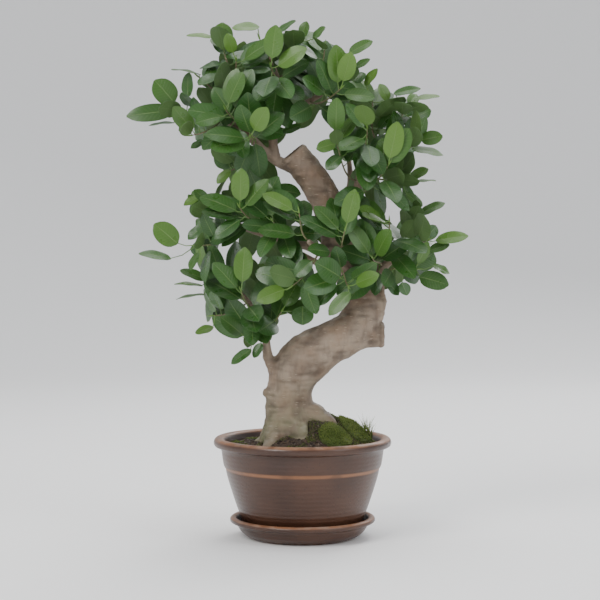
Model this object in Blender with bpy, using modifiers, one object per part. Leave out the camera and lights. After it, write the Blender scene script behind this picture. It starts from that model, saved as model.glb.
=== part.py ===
"""Fig bonsai in a glazed pot on its saucer.

Metres, +Z up. The origin is the centre of the saucer's underside, and the tree's front faces -Y.
Pieces: saucer, pot, drain mesh, soil, moss cushions, the trunk with its roots and branches, and one
node for each leafy shoot. A shoot is a twig whose leaves are extruded from its own faces, and no
leaf passes through anything else.
"""

import math
import random

import bmesh
import bpy
from mathutils import Matrix, Vector
from mathutils.bvhtree import BVHTree

# ---------------------------------------------------------------- driving dimensions
POT_RADIUS = 0.105          # outside of the lip
POT_TOP = 0.118
POT_FOOT_Z = 0.0053         # the foot stands 0.3 mm clear of the saucer's floor
SAUCER_RADIUS = 0.086
SAUCER_FLOOR_Z = 0.005
POT_FLOOR_Z = 0.0125        # inside
DRAIN_RADIUS = 0.009
DRAIN_MESH_SIDE = 0.034
DRAIN_MESH_BAR = 0.004
DRAIN_MESH_HOLES = 3        # in each row
DRAIN_MESH_THICKNESS = 0.0012
ROUND_STEPS = 36            # facets round the pot and the saucer
FIT_GAP = 0.0003            # clearance between pieces that touch
SOIL_EDGE_Z = 0.1085        # soil level against the pot's wall
SOIL_RADIUS = 0.0901        # inside of the pot at that level
LEVEL_RADIUS = 0.089        # the surface is level from here out to the wall
SOIL_LUMPS = 0.0016         # gentle unevenness of the surface
MOSS_GAP = 0.0024           # clears the facets of the soil under a cushion
MOSS_EDGE = 0.0012          # thickness of a cushion at its rim
MOUND_HEIGHT = 0.0412       # how far the root ball stands above the soil's edge
MOUND_CENTRE = (0.018, 0.0)
MOUND_SPREAD = (0.050, 0.047)
TRUNK_DETAIL = 4            # bevel resolution of the trunk, 12 sides
LIMB_DETAIL = 1             # and of the branches and roots, 6 sides
TWIG_BASE_RADIUS = 0.0017
TWIG_TIP_RADIUS = 0.0009
LEAF_SPACING = 0.0046       # between one leaf and the next along a twig
BARE_SHARE = 0.22           # of a twig, at its foot
FEWEST_LEAVES = 4           # places for leaves on the shortest twig
LEAF_LENGTH = 0.046         # of a blade low on its twig; the last one is 8 mm shorter
LEAF_WIDTH = (0.50, 0.60)   # as a share of the length
STALK_LENGTH = (0.007, 0.012)
LEAF_TRIES = 40             # positions that a leaf may try before its place stays bare
CELL = 0.004                # grain of the front view in which the leaves look for light
LEAF_KEEL = 0.0010          # depth of the midrib under the blade
LEAF_STALK_RADIUS = 0.0006
LEAF_OUTLINE = [(0.28, 0.84, 0.045), (0.68, 0.94, 0.050)]   # place along the blade, share of width, rise
TWIG_STEP = 0.0055          # length of one segment of a twig
STALK_TRIES = 24            # faces of the twig that a stalk may try to grow from
LEAST_FACING = 0.30         # cosine between such a face's normal and the way the stalk goes
SHARPEST_BEND = -0.45       # cosine between the stalk and the blade
GOLDEN_ANGLE = math.radians(137.5)
VIEWING_POINT = Vector((0.0, -2.0, 0.36))   # where a viewer judges the tree's front outline from

# ---------------------------------------------------------------- outlines: (radius, height)
POT_OUTER = [
    (0.0970, 0.1180), (0.1012, 0.1180), (0.1040, 0.1158), (POT_RADIUS, 0.1120), (0.1040, 0.1086),
    (0.1010, 0.1072), (0.0972, 0.1064), (0.0957, 0.1030), (0.0948, 0.0950), (0.0934, 0.0866),
    (0.0924, 0.0838), (0.0906, 0.0815), (0.0902, 0.0770), (0.0872, 0.0660), (0.0838, 0.0550),
    (0.0802, 0.0440), (0.0764, 0.0330), (0.0720, 0.0220), (0.0675, 0.0120), (0.0645, 0.0070),
    (0.0625, POT_FOOT_Z), (0.0550, POT_FOOT_Z), (0.0535, 0.0075), (DRAIN_RADIUS, 0.0075),
]
POT_INNER = [
    (DRAIN_RADIUS, POT_FLOOR_Z), (0.0570, POT_FLOOR_Z), (0.0625, 0.0155), (0.0690, 0.0280), (0.0760, 0.0470),
    (0.0825, 0.0670), (0.0870, 0.0870), (0.0895, 0.1030), (0.0915, 0.1130), (0.0935, 0.1168),
]
SAUCER_OUTLINE = [
    (0.0800, 0.0245), (0.0832, 0.0243), (0.0853, 0.0228), (SAUCER_RADIUS, 0.0205), (0.0850, 0.0187),
    (0.0805, 0.0172), (0.0776, 0.0155), (0.0757, 0.0115), (0.0727, 0.0072), (0.0685, 0.0036),
    (0.0630, 0.0011), (0.0580, 0.0), (0.0, 0.0),
    (0.0, SAUCER_FLOOR_Z), (0.0665, SAUCER_FLOOR_Z), (0.0705, 0.0078), (0.0738, 0.0125),
    (0.0762, 0.0180), (0.0778, 0.0230),
]

# ---------------------------------------------------------------- wood: (x, y, z, radius)
TRUNK = [
    (-0.015, 0.000, 0.098, 0.0400), (-0.015, 0.000, 0.118, 0.0365), (-0.015, 0.000, 0.136, 0.0310),
    (-0.016, 0.000, 0.160, 0.0278), (-0.013, -0.003, 0.185, 0.0285), (-0.001, -0.006, 0.206, 0.0305),
    (0.020, -0.008, 0.2226, 0.0276), (0.044, -0.007, 0.2346, 0.0251), (0.064, -0.002, 0.249, 0.0263),
    (0.0730, 0.005, 0.272, 0.0255), (0.0665, 0.011, 0.298, 0.0240), (0.053, 0.014, 0.326, 0.0228),
    (0.0415, 0.012, 0.356, 0.0215), (0.0318, 0.006, 0.386, 0.0202), (0.0194, 0.000, 0.4115, 0.0190),
    (0.0042, -0.005, 0.4330, 0.0182), (-0.0118, -0.008, 0.4520, 0.0168),
]
BRANCHES = {
    "pruned_stub": [
        (0.060, -0.002, 0.243, 0.0188), (0.079, -0.003, 0.2380, 0.0166), (0.0962, -0.003, 0.2375, 0.0141),
    ],
    "left_knob": [
        (-0.030, -0.004, 0.169, 0.0110), (-0.040, -0.005, 0.1705, 0.0078), (-0.0480, -0.005, 0.171, 0.0048),
    ],
    "left_low": [
        (-0.027, -0.005, 0.190, 0.0110), (-0.0405, -0.008, 0.212, 0.0072), (-0.0440, -0.011, 0.243, 0.0046),
        (-0.057, -0.014, 0.270, 0.0038), (-0.080, -0.012, 0.296, 0.0030),
    ],
    "left_mid": [
        (0.040, 0.008, 0.334, 0.0110), (0.010, 0.000, 0.342, 0.0066), (-0.025, -0.008, 0.352, 0.0055),
        (-0.060, -0.010, 0.362, 0.0045), (-0.090, -0.008, 0.374, 0.0032),
    ],
    "left_high": [
        (0.006, -0.005, 0.434, 0.0120), (-0.018, -0.004, 0.436, 0.0076), (-0.040, -0.002, 0.450, 0.0064),
        (-0.062, 0.001, 0.471, 0.0054), (-0.086, 0.003, 0.488, 0.0045), (-0.115, 0.002, 0.499, 0.0032),
    ],
    "top": [
        (-0.030, -0.003, 0.443, 0.0062), (-0.035, -0.001, 0.470, 0.0058), (-0.029, 0.003, 0.500, 0.0052),
        (-0.027, 0.004, 0.528, 0.0044), (-0.034, 0.000, 0.553, 0.0032),
    ],
    "top_right": [
        (-0.030, 0.002, 0.492, 0.0050), (0.002, 0.006, 0.510, 0.0040), (0.034, 0.006, 0.528, 0.0030),
    ],
    "top_left": [
        (-0.060, 0.001, 0.469, 0.0052), (-0.069, 0.008, 0.505, 0.0042), (-0.082, 0.010, 0.540, 0.0030),
    ],
    "right_high": [
        (0.042, 0.010, 0.362, 0.0110), (0.062, 0.004, 0.392, 0.0062), (0.067, 0.000, 0.424, 0.0052),
        (0.084, -0.002, 0.450, 0.0043), (0.100, 0.000, 0.474, 0.0032),
    ],
    "right_mid": [
        (0.072, 0.008, 0.300, 0.0110), (0.098, 0.000, 0.321, 0.0058), (0.122, -0.004, 0.341, 0.0032),
    ],
    "right_stem": [
        (0.086, -0.002, 0.258, 0.0050), (0.0964, -0.006, 0.274, 0.0030), (0.0940, -0.008, 0.296, 0.0023),
        (0.100, -0.012, 0.312, 0.0020),
    ],
    "front": [
        (0.060, 0.004, 0.308, 0.0110), (0.044, -0.030, 0.318, 0.0058), (0.026, -0.050, 0.332, 0.0044),
        (0.006, -0.060, 0.350, 0.0032),
    ],
    "back_low": [
        (0.064, 0.014, 0.296, 0.0110), (0.044, 0.044, 0.308, 0.0058), (0.018, 0.064, 0.322, 0.0044),
        (-0.010, 0.074, 0.338, 0.0032),
    ],
    "back_high": [
        (0.040, 0.012, 0.366, 0.0110), (0.052, 0.045, 0.388, 0.0058), (0.058, 0.064, 0.420, 0.0044),
        (0.056, 0.070, 0.450, 0.0032),
    ],
}
ROOTS = [
    # compass direction from the trunk's axis in degrees, reach, start radius
    (182, 0.052, 0.0130), (236, 0.058, 0.0150), (292, 0.056, 0.0140), (344, 0.064, 0.0150),
    (38, 0.058, 0.0135), (96, 0.056, 0.0140), (140, 0.050, 0.0120),
]
ROOT_CENTRE = (-0.015, 0.0)
ROOT_STEPS = [
    # share of its reach, depth of its axis under the soil's surface, share of its start radius
    (0.25, -0.002, 1.10), (0.50, 0.005, 1.00), (0.75, 0.010, 0.75), (1.00, 0.016, 0.45),
]
BUTTRESSES = (182, 236, 140)    # roots that stand proud of the low soil on the left before they dive
BUTTRESS_Z = 0.128
BUTTRESS_FALL = 0.022

# ---------------------------------------------------------------- shoots: branch, place along it, tip
SHOOTS = [
    ("left_high", 1.00, (-0.148, 0.000, 0.503)), ("left_high", 0.86, (-0.128, -0.020, 0.472)),
    ("left_high", 0.80, (-0.112, 0.046, 0.512)), ("left_high", 0.66, (-0.088, -0.055, 0.500)),
    ("left_high", 0.52, (-0.060, -0.060, 0.468)), ("left_high", 0.44, (-0.086, 0.012, 0.432)),
    ("left_high", 0.58, (-0.058, 0.058, 0.458)),
    ("top_left", 1.00, (-0.094, 0.008, 0.578)), ("top_left", 0.74, (-0.122, -0.006, 0.541)),
    ("top_left", 0.84, (-0.076, -0.044, 0.556)), ("top_left", 0.60, (-0.082, 0.060, 0.546)),
    ("top", 1.00, (-0.050, -0.004, 0.585)), ("top", 0.88, (-0.006, -0.012, 0.584)),
    ("top", 0.78, (-0.036, -0.056, 0.548)), ("top", 0.70, (-0.026, 0.062, 0.552)),
    ("top_right", 1.00, (0.058, 0.004, 0.556)), ("top_right", 0.82, (0.026, -0.026, 0.574)),
    ("top_right", 0.72, (0.036, 0.050, 0.548)), ("top_right", 0.60, (0.044, -0.046, 0.524)),
    ("right_high", 1.00, (0.122, -0.004, 0.505)), ("right_high", 0.90, (0.082, 0.006, 0.514)),
    ("right_high", 0.80, (0.132, -0.012, 0.462)), ("right_high", 0.74, (0.074, -0.050, 0.478)),
    ("right_high", 0.68, (0.086, 0.054, 0.474)), ("right_high", 0.58, (0.120, 0.008, 0.424)),
    ("right_high", 0.50, (0.038, -0.036, 0.466)), ("right_high", 0.40, (0.098, -0.050, 0.436)),
    ("right_mid", 1.00, (0.146, -0.006, 0.350)), ("right_mid", 0.84, (0.134, 0.012, 0.376)),
    ("right_mid", 0.70, (0.100, -0.040, 0.372)), ("right_mid", 0.62, (0.112, 0.046, 0.342)),
    ("right_mid", 0.48, (0.080, -0.050, 0.330)),
    ("right_stem", 1.00, (0.132, -0.020, 0.316)),
    ("front", 1.00, (-0.004, -0.074, 0.382)), ("front", 0.80, (-0.012, -0.064, 0.298)),
    ("front", 0.62, (0.048, -0.072, 0.362)), ("front", 0.46, (0.052, -0.062, 0.298)),
    ("left_mid", 1.00, (-0.118, -0.006, 0.384)), ("left_mid", 0.86, (-0.124, -0.024, 0.344)),
    ("left_mid", 0.72, (-0.072, -0.054, 0.388)), ("left_mid", 0.62, (-0.068, 0.044, 0.384)),
    ("left_mid", 0.46, (-0.034, -0.050, 0.372)),
    ("left_low", 1.00, (-0.112, -0.010, 0.306)), ("left_low", 0.80, (-0.104, -0.018, 0.262)),
    ("left_low", 0.66, (-0.070, -0.058, 0.292)), ("left_low", 0.56, (-0.060, 0.034, 0.290)),
    ("left_low", 0.42, (-0.064, -0.024, 0.236)), ("left_low", 0.50, (-0.024, -0.030, 0.268)),
    ("back_low", 1.00, (-0.040, 0.084, 0.350)), ("back_low", 0.70, (0.030, 0.088, 0.346)),
    ("back_high", 1.00, (0.048, 0.076, 0.494)), ("back_high", 0.55, (0.030, 0.096, 0.424)),
]

# Leaves that reach past the crown's body: blade start, tip (x, z), width across the blade, and roll
# about the midrib in degrees, where 0 shows the blade's full face to the front.
REACHING_LEAVES = [
    (-0.150, 0.502, -0.206, 0.495, 0.021, 10), (-0.150, 0.511, -0.173, 0.537, 0.028, 12),
    (-0.135, 0.517, -0.133, 0.546, 0.020, 45), (-0.118, 0.543, -0.153, 0.549, 0.020, 80),
    (-0.104, 0.588, -0.136, 0.590, 0.015, 65),
    (-0.094, 0.576, -0.094, 0.605, 0.025, 5), (-0.050, 0.599, -0.082, 0.597, 0.018, 50),
    (-0.032, 0.590, -0.008, 0.606, 0.016, 60), (-0.001, 0.586, 0.005, 0.604, 0.014, 30),
    (0.012, 0.584, 0.026, 0.598, 0.015, 55), (0.054, 0.569, 0.082, 0.583, 0.017, 40),
    (0.061, 0.552, 0.079, 0.562, 0.012, 45), (0.073, 0.532, 0.088, 0.551, 0.014, 45),
    (0.060, 0.536, 0.074, 0.545, 0.013, 30), (0.101, 0.514, 0.090, 0.533, 0.015, 30),
    (0.106, 0.521, 0.138, 0.527, 0.013, 40), (0.130, 0.515, 0.160, 0.518, 0.013, 60),
    (0.128, 0.492, 0.150, 0.502, 0.018, 20), (0.138, 0.467, 0.163, 0.471, 0.018, 20),
    (0.128, 0.457, 0.164, 0.449, 0.017, 58), (0.127, 0.424, 0.148, 0.434, 0.015, 40),
    (0.128, 0.418, 0.157, 0.420, 0.014, 78), (0.138, 0.381, 0.168, 0.394, 0.016, 50),
    (0.156, 0.350, 0.194, 0.355, 0.018, 40), (0.148, 0.338, 0.172, 0.345, 0.015, 45),
    (0.152, 0.322, 0.171, 0.311, 0.014, 55), (0.136, 0.308, 0.170, 0.298, 0.022, 15),
    (0.116, 0.301, 0.122, 0.286, 0.016, 30), (0.100, 0.302, 0.112, 0.286, 0.014, 30),
    (-0.145, 0.346, -0.172, 0.369, 0.026, 10), (-0.153, 0.329, -0.190, 0.335, 0.016, 55),
    (-0.108, 0.393, -0.127, 0.409, 0.016, 40), (-0.112, 0.304, -0.143, 0.315, 0.016, 50),
    (-0.114, 0.287, -0.148, 0.281, 0.014, 80),
    (-0.104, 0.249, -0.125, 0.242, 0.014, 50), (-0.060, 0.223, -0.083, 0.206, 0.015, 45),
    (-0.048, 0.230, -0.057, 0.213, 0.012, 30), (0.000, 0.274, 0.000, 0.252, 0.026, 5),
    (0.038, 0.300, 0.016, 0.276, 0.018, 25), (-0.032, 0.254, -0.024, 0.238, 0.012, 50),
    (0.010, 0.327, -0.009, 0.309, 0.018, 20), (0.038, 0.462, 0.016, 0.455, 0.016, 20),
    (0.044, 0.447, 0.027, 0.432, 0.016, 20), (-0.034, 0.410, -0.002, 0.404, 0.022, 35),
    (-0.114, 0.466, -0.130, 0.457, 0.012, 45), (-0.150, 0.488, -0.180, 0.484, 0.014, 75),
    (0.054, 0.291, 0.030, 0.265, 0.017, 25), (-0.132, 0.316, -0.157, 0.333, 0.012, 50),
    (-0.102, 0.600, -0.124, 0.593, 0.010, 50), (-0.120, 0.552, -0.143, 0.561, 0.012, 40),
    (-0.119, 0.402, -0.139, 0.391, 0.012, 40), (-0.116, 0.367, -0.134, 0.351, 0.014, 30),
    (-0.117, 0.297, -0.150, 0.299, 0.011, 72), (0.122, 0.405, 0.141, 0.390, 0.012, 30),
    (-0.085, 0.433, -0.101, 0.417, 0.013, 30), (-0.002, 0.484, -0.024, 0.475, 0.012, 35),
]

# The crown's body from the front, clockwise from its left arm, and the view kept open to the limb.
CROWN_OUTLINE = [
    (-0.172, 0.500), (-0.160, 0.520), (-0.142, 0.528), (-0.128, 0.528), (-0.122, 0.538),
    (-0.121, 0.556), (-0.106, 0.560), (-0.098, 0.568), (-0.110, 0.584), (-0.110, 0.600),
    (-0.088, 0.604), (-0.076, 0.590), (-0.062, 0.578), (-0.052, 0.588), (-0.040, 0.600),
    (-0.006, 0.596), (0.020, 0.592), (0.034, 0.578), (0.056, 0.572), (0.068, 0.560),
    (0.066, 0.546), (0.082, 0.534), (0.104, 0.522), (0.128, 0.529), (0.146, 0.518),
    (0.150, 0.500), (0.150, 0.480), (0.146, 0.462), (0.134, 0.450), (0.124, 0.444),
    (0.136, 0.434), (0.140, 0.420), (0.132, 0.408), (0.124, 0.398), (0.142, 0.396),
    (0.154, 0.384), (0.152, 0.370), (0.164, 0.358), (0.162, 0.342), (0.158, 0.318),
    (0.146, 0.302), (0.120, 0.292), (0.098, 0.292), (0.070, 0.280), (0.046, 0.276),
    (0.030, 0.270), (0.012, 0.256), (-0.012, 0.254), (-0.024, 0.262), (-0.026, 0.242),
    (-0.040, 0.230), (-0.060, 0.222), (-0.092, 0.238), (-0.114, 0.246), (-0.114, 0.272),
    (-0.122, 0.290), (-0.128, 0.304), (-0.138, 0.318), (-0.134, 0.338), (-0.128, 0.352),
    (-0.126, 0.366), (-0.138, 0.378), (-0.138, 0.388), (-0.136, 0.404), (-0.112, 0.410),
    (-0.101, 0.420), (-0.102, 0.444), (-0.118, 0.456), (-0.138, 0.470), (-0.152, 0.482),
]
LIMB_WINDOW = [
    (-0.026, 0.452), (-0.025, 0.474), (-0.014, 0.474), (0.002, 0.483), (0.017, 0.484), (0.034, 0.484),
    (0.028, 0.463), (0.017, 0.454), (0.032, 0.447), (0.040, 0.441), (0.055, 0.440), (0.059, 0.422),
    (0.046, 0.412), (0.040, 0.403), (0.020, 0.392), (0.004, 0.404), (-0.006, 0.424), (-0.027, 0.434),
    (-0.038, 0.441),
]
SMALL_WINDOWS = [
    # centre x, centre z, half width, half height
    (0.105, 0.381, 0.009, 0.009), (0.078, 0.404, 0.006, 0.007), (0.079, 0.425, 0.005, 0.004),
    (0.029, 0.497, 0.003, 0.005), (-0.060, 0.509, 0.005, 0.004), (-0.063, 0.350, 0.008, 0.005),
    (-0.040, 0.348, 0.008, 0.005), (-0.117, 0.519, 0.005, 0.005),
]

# ---------------------------------------------------------------- moss: (x, y, half length, half width, rise)
MOSS = [
    (0.062, -0.006, 0.020, 0.024, 0.0085), (0.038, -0.046, 0.020, 0.017, 0.0060),
    (0.008, 0.053, 0.017, 0.013, 0.0060),
]


def clear_scene():
    for obj in list(bpy.data.objects):
        bpy.data.objects.remove(obj, do_unlink=True)


def make_material(name, colour, roughness, metallic=0.0):
    material = bpy.data.materials.new(name)
    material.use_nodes = True
    shader = material.node_tree.nodes["Principled BSDF"]
    shader.inputs["Base Color"].default_value = (*colour, 1.0)
    shader.inputs["Roughness"].default_value = roughness
    shader.inputs["Metallic"].default_value = metallic
    return material


def add_object(name, mesh, collection, material=None):
    obj = bpy.data.objects.new(name, mesh)
    collection.objects.link(obj)
    if material is not None:
        mesh.materials.append(material)
    return obj


def mesh_from(bm, name):
    mesh = bpy.data.meshes.new(name)
    bm.to_mesh(mesh)
    bm.free()
    return mesh


def evaluated_mesh(obj):
    bpy.context.view_layer.update()
    graph = bpy.context.evaluated_depsgraph_get()
    return bpy.data.meshes.new_from_object(obj.evaluated_get(graph))


def triangle_tree(*objects):
    """One search tree over the evaluated faces of several objects, which all sit at the origin."""
    points, faces = [], []
    for obj in objects:
        mesh = evaluated_mesh(obj)
        first = len(points)
        points += [v.co.copy() for v in mesh.vertices]
        faces += [[first + i for i in face.vertices] for face in mesh.polygons]
        bpy.data.meshes.remove(mesh)
    return BVHTree.FromPolygons(points, faces)


# ---------------------------------------------------------------- curves
def smooth_path(points, steps):
    """A Catmull-Rom curve through the points, whose fourth number is a radius."""
    rows = [Vector(p) for p in points]
    rows = [2 * rows[0] - rows[1], *rows, 2 * rows[-1] - rows[-2]]
    path = []
    for a, b, c, d in zip(rows, rows[1:], rows[2:], rows[3:]):
        square = 2 * a - 5 * b + 4 * c - d
        cube = 3 * b - 3 * c + d - a
        for i in range(steps):
            t = i / steps
            path.append(0.5 * (2 * b + (c - a) * t + square * t**2 + cube * t**3))
    return [*path, rows[-2]]


def tube_mesh(name, path, bevel_resolution, extra_radius=0.0):
    """A closed mesh of a curve with a round bevel that follows the path's radius."""
    curve = bpy.data.curves.new(name, "CURVE")
    curve.dimensions = "3D"
    curve.bevel_depth = 1.0
    curve.bevel_resolution = bevel_resolution
    curve.use_fill_caps = True
    spline = curve.splines.new("POLY")
    spline.points.add(len(path) - 1)
    for point, row in zip(spline.points, path):
        point.co = (row[0], row[1], row[2], 1.0)
        point.radius = row[3] + extra_radius
    guide = bpy.data.objects.new(name + "_curve", curve)
    bpy.context.scene.collection.objects.link(guide)
    mesh = evaluated_mesh(guide)
    bpy.data.objects.remove(guide)
    bpy.data.curves.remove(curve)
    bm = bmesh.new()
    bm.from_mesh(mesh)
    bmesh.ops.remove_doubles(bm, verts=bm.verts, dist=1e-6)
    bmesh.ops.recalc_face_normals(bm, faces=bm.faces)
    bm.to_mesh(mesh)
    bm.free()
    return mesh


def add_boolean(obj, other, operation):
    modifier = obj.modifiers.new(f"{operation.lower()} {other.name}", "BOOLEAN")
    modifier.operation = operation
    modifier.solver = "MANIFOLD"
    modifier.object = other


# ---------------------------------------------------------------- pot, saucer, drain mesh
def turned(name, outline, collection, material, closed=True):
    """A profile in the XZ plane turned round Z by a Screw modifier."""
    bm = bmesh.new()
    corners = [bm.verts.new((r, 0.0, z)) for r, z in outline]
    for a, b in zip(corners, corners[1:]):
        bm.edges.new((a, b))
    if closed:
        bm.edges.new((corners[-1], corners[0]))
    obj = add_object(name, mesh_from(bm, name), collection, material)
    screw = obj.modifiers.new("turn", "SCREW")
    screw.steps = screw.render_steps = ROUND_STEPS
    screw.use_merge_vertices = True
    screw.merge_threshold = 0.00001
    screw.use_smooth_shade = True
    return obj


def make_drain_mesh(collection, material):
    """A square of stiff plastic mesh that lies over the drain hole and holds the soil back."""
    lines = 2 * DRAIN_MESH_HOLES + 1
    pitch = (DRAIN_MESH_SIDE - DRAIN_MESH_BAR) / DRAIN_MESH_HOLES
    bm = bmesh.new()
    bmesh.ops.create_grid(bm, x_segments=lines, y_segments=lines, size=0.5)
    openings = []
    for face in bm.faces:
        column, row = (math.floor((face.calc_center_median()[axis] + 0.5) * lines) for axis in (0, 1))
        if column % 2 and row % 2:
            openings.append(face)
    for vert in bm.verts:
        for axis in (0, 1):
            bar, edge = divmod(round((vert.co[axis] + 0.5) * lines), 2)
            vert.co[axis] = bar * pitch + edge * DRAIN_MESH_BAR - DRAIN_MESH_SIDE / 2
    bmesh.ops.delete(bm, geom=openings, context="FACES")
    top = bmesh.ops.extrude_face_region(bm, geom=bm.faces[:])["geom"]
    top = [g for g in top if isinstance(g, bmesh.types.BMVert)]
    bmesh.ops.translate(bm, verts=top, vec=(0, 0, DRAIN_MESH_THICKNESS))
    bmesh.ops.recalc_face_normals(bm, faces=bm.faces)
    bmesh.ops.translate(bm, verts=bm.verts, vec=(0, 0, POT_FLOOR_Z + FIT_GAP))
    return add_object("drain_mesh", mesh_from(bm, "drain_mesh"), collection, material)


def box_mesh(name, low, high):
    bm = bmesh.new()
    middle = Matrix.Translation((Vector(low) + Vector(high)) / 2)
    sides = Matrix.Diagonal((*(Vector(high) - Vector(low)), 1))
    bmesh.ops.create_cube(bm, size=1.0, matrix=middle @ sides)
    return mesh_from(bm, name)


# ---------------------------------------------------------------- soil and moss
def soil_height(x, y):
    """The soil's surface: level at the pot's wall, mounded over the root ball."""
    u = (x - MOUND_CENTRE[0]) / MOUND_SPREAD[0]
    v = (y - MOUND_CENTRE[1]) / MOUND_SPREAD[1]
    wall = min(1.0, math.hypot(x, y) / LEVEL_RADIUS)
    lumps = SOIL_LUMPS * math.sin(95 * x + 1.3) * math.cos(110 * y + 0.4)
    return SOIL_EDGE_Z + (MOUND_HEIGHT * math.exp(-u * u - v * v) + lumps) * (1 - wall**6)


def make_soil(collection, material):
    """The soil fills the pot from just above its floor, round the drain mesh, to the mound."""
    profile = [(0.0, POT_FLOOR_Z + FIT_GAP), *[(r - FIT_GAP, z + FIT_GAP) for r, z in POT_INNER[1:7]]]
    edge_radius = SOIL_RADIUS - FIT_GAP
    profile.append((edge_radius, SOIL_EDGE_Z))
    rings = 6
    profile += [(edge_radius * (1 - i / rings), SOIL_EDGE_Z) for i in range(1, rings + 1)]
    soil = turned("soil", list(reversed(profile)), collection, material, closed=False)
    mesh = evaluated_mesh(soil)
    bpy.data.objects.remove(soil)
    bm = bmesh.new()
    bm.from_mesh(mesh)
    bmesh.ops.remove_doubles(bm, verts=bm.verts, dist=1e-6)
    for vert in bm.verts:
        if abs(vert.co.z - SOIL_EDGE_Z) < 1e-6:
            vert.co.z = soil_height(vert.co.x, vert.co.y)
    bmesh.ops.recalc_face_normals(bm, faces=bm.faces)
    return add_object("soil", mesh_from(bm, "soil"), collection, None)


def make_moss(number, row, collection, material):
    """A cushion of moss whose underside follows the soil."""
    x, y, half_length, half_width, rise = row
    bm = bmesh.new()
    bmesh.ops.create_circle(bm, cap_ends=True, radius=1.0, segments=14)
    for _ in range(2):
        middle = max(bm.faces, key=lambda f: len(f.verts))
        bmesh.ops.inset_region(bm, faces=[middle], thickness=0.35, use_even_offset=False)
    bmesh.ops.poke(bm, faces=[max(bm.faces, key=lambda f: len(f.verts))])
    top = bmesh.ops.extrude_face_region(bm, geom=bm.faces[:])["geom"]
    top = {g for g in top if isinstance(g, bmesh.types.BMVert)}
    for vert in bm.verts:
        u, v = vert.co.x, vert.co.y
        px, py = x + u * half_length, y + v * half_width
        lift = MOSS_EDGE + (rise - MOSS_EDGE) * max(0.0, 1 - u * u - v * v) ** 0.6 if vert in top else 0.0
        vert.co = (px, py, soil_height(px, py) + MOSS_GAP + lift)
    bmesh.ops.recalc_face_normals(bm, faces=bm.faces)
    name = f"moss_cushion_{number}"
    return add_object(name, mesh_from(bm, name), collection, material)


# ---------------------------------------------------------------- trunk, branches, roots
def root_path(direction, reach, radius):
    """A surface root that leaves the flare, runs over the soil and dives into it."""
    angle = math.radians(direction)
    out = Vector((math.cos(angle), math.sin(angle), 0.0))
    path = []
    for share, depth, thick in ROOT_STEPS:
        spot = Vector((*ROOT_CENTRE, 0.0)) + out * reach * share
        height = soil_height(spot.x, spot.y) - depth
        if direction in BUTTRESSES:
            height = max(height, BUTTRESS_Z - depth - BUTTRESS_FALL * share)
        path.append((spot.x, spot.y, height, radius * thick))
    return smooth_path(path, 3)


def wood_paths():
    """Every tapering stem of the tree by name: the trunk, the roots and the branches."""
    paths = {"trunk": smooth_path(TRUNK, 2)}
    for i, (direction, reach, radius) in enumerate(ROOTS, 1):
        paths[f"root_{i}"] = root_path(direction, reach, radius)
    for name, points in BRANCHES.items():
        paths[name] = smooth_path(points, 3)
    return paths


def make_trunk(paths, collection, helpers, material):
    trunk = add_object("trunk", tube_mesh("trunk", paths["trunk"], TRUNK_DETAIL), collection, material)
    for name, path in paths.items():
        if name != "trunk":
            limb = add_object(name + "_limb", tube_mesh(name, path, LIMB_DETAIL), helpers)
            add_boolean(trunk, limb, "UNION")
    return trunk


def cut_soil_round(soil, paths, helpers):
    """Leaves the roots' room in the soil, a fit gap wider than the wood."""
    for name, path in paths.items():
        if name == "trunk":
            path = path[:9]
        elif not name.startswith("root"):
            continue
        detail = TRUNK_DETAIL if name == "trunk" else LIMB_DETAIL
        cutter = add_object(name + "_room", tube_mesh(name, path, detail, FIT_GAP * 2), helpers)
        add_boolean(soil, cutter, "DIFFERENCE")


# ---------------------------------------------------------------- shoots
def along_path(path, share):
    """The point, direction and radius at a share of the path's length."""
    points = [Vector(p[:3]) for p in path]
    lengths = [(b - a).length for a, b in zip(points, points[1:])]
    left = share * sum(lengths)
    for i, length in enumerate(lengths):
        if left <= length or i == len(lengths) - 1:
            t = min(1.0, left / length)
            radius = path[i][3] + (path[i + 1][3] - path[i][3]) * t
            return points[i].lerp(points[i + 1], t), (points[i + 1] - points[i]).normalized(), radius
        left -= length


def twig_path(branch_path, share, tip, wood_tree):
    """A twig from the branch's bark to its tip. It leaves square to the bark and turns upward."""
    tip = Vector(tip)
    centre, forward, _ = along_path(branch_path, share)
    if share >= 1.0:
        outward = forward
        start = centre + forward * FIT_GAP * 4
    else:
        outward = (tip - centre).normalized()
        outward = (outward - forward * outward.dot(forward)).normalized()
        hit, normal, _, _ = wood_tree.ray_cast(centre, outward)
        if normal.dot(outward) < 0:
            normal = -normal
        outward = normal
        start = hit + normal * FIT_GAP * 1.5
    span = (tip - start).length
    ending = ((tip - start).normalized() + Vector((0, 0, 0.35))).normalized()
    a, b, c, d = start, start + outward * span * 0.35, tip - ending * span * 0.35, tip
    path = []
    rings = max(5, round(span / TWIG_STEP))
    for i in range(rings + 1):
        t = i / rings
        spot = a * (1 - t) ** 3 + b * 3 * t * (1 - t) ** 2 + c * 3 * t * t * (1 - t) + d * t**3
        path.append((*spot, TWIG_BASE_RADIUS + (TWIG_TIP_RADIUS - TWIG_BASE_RADIUS) * t))
    return path


def path_length(path):
    return sum((Vector(b[:3]) - Vector(a[:3])).length for a, b in zip(path, path[1:]))


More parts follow.
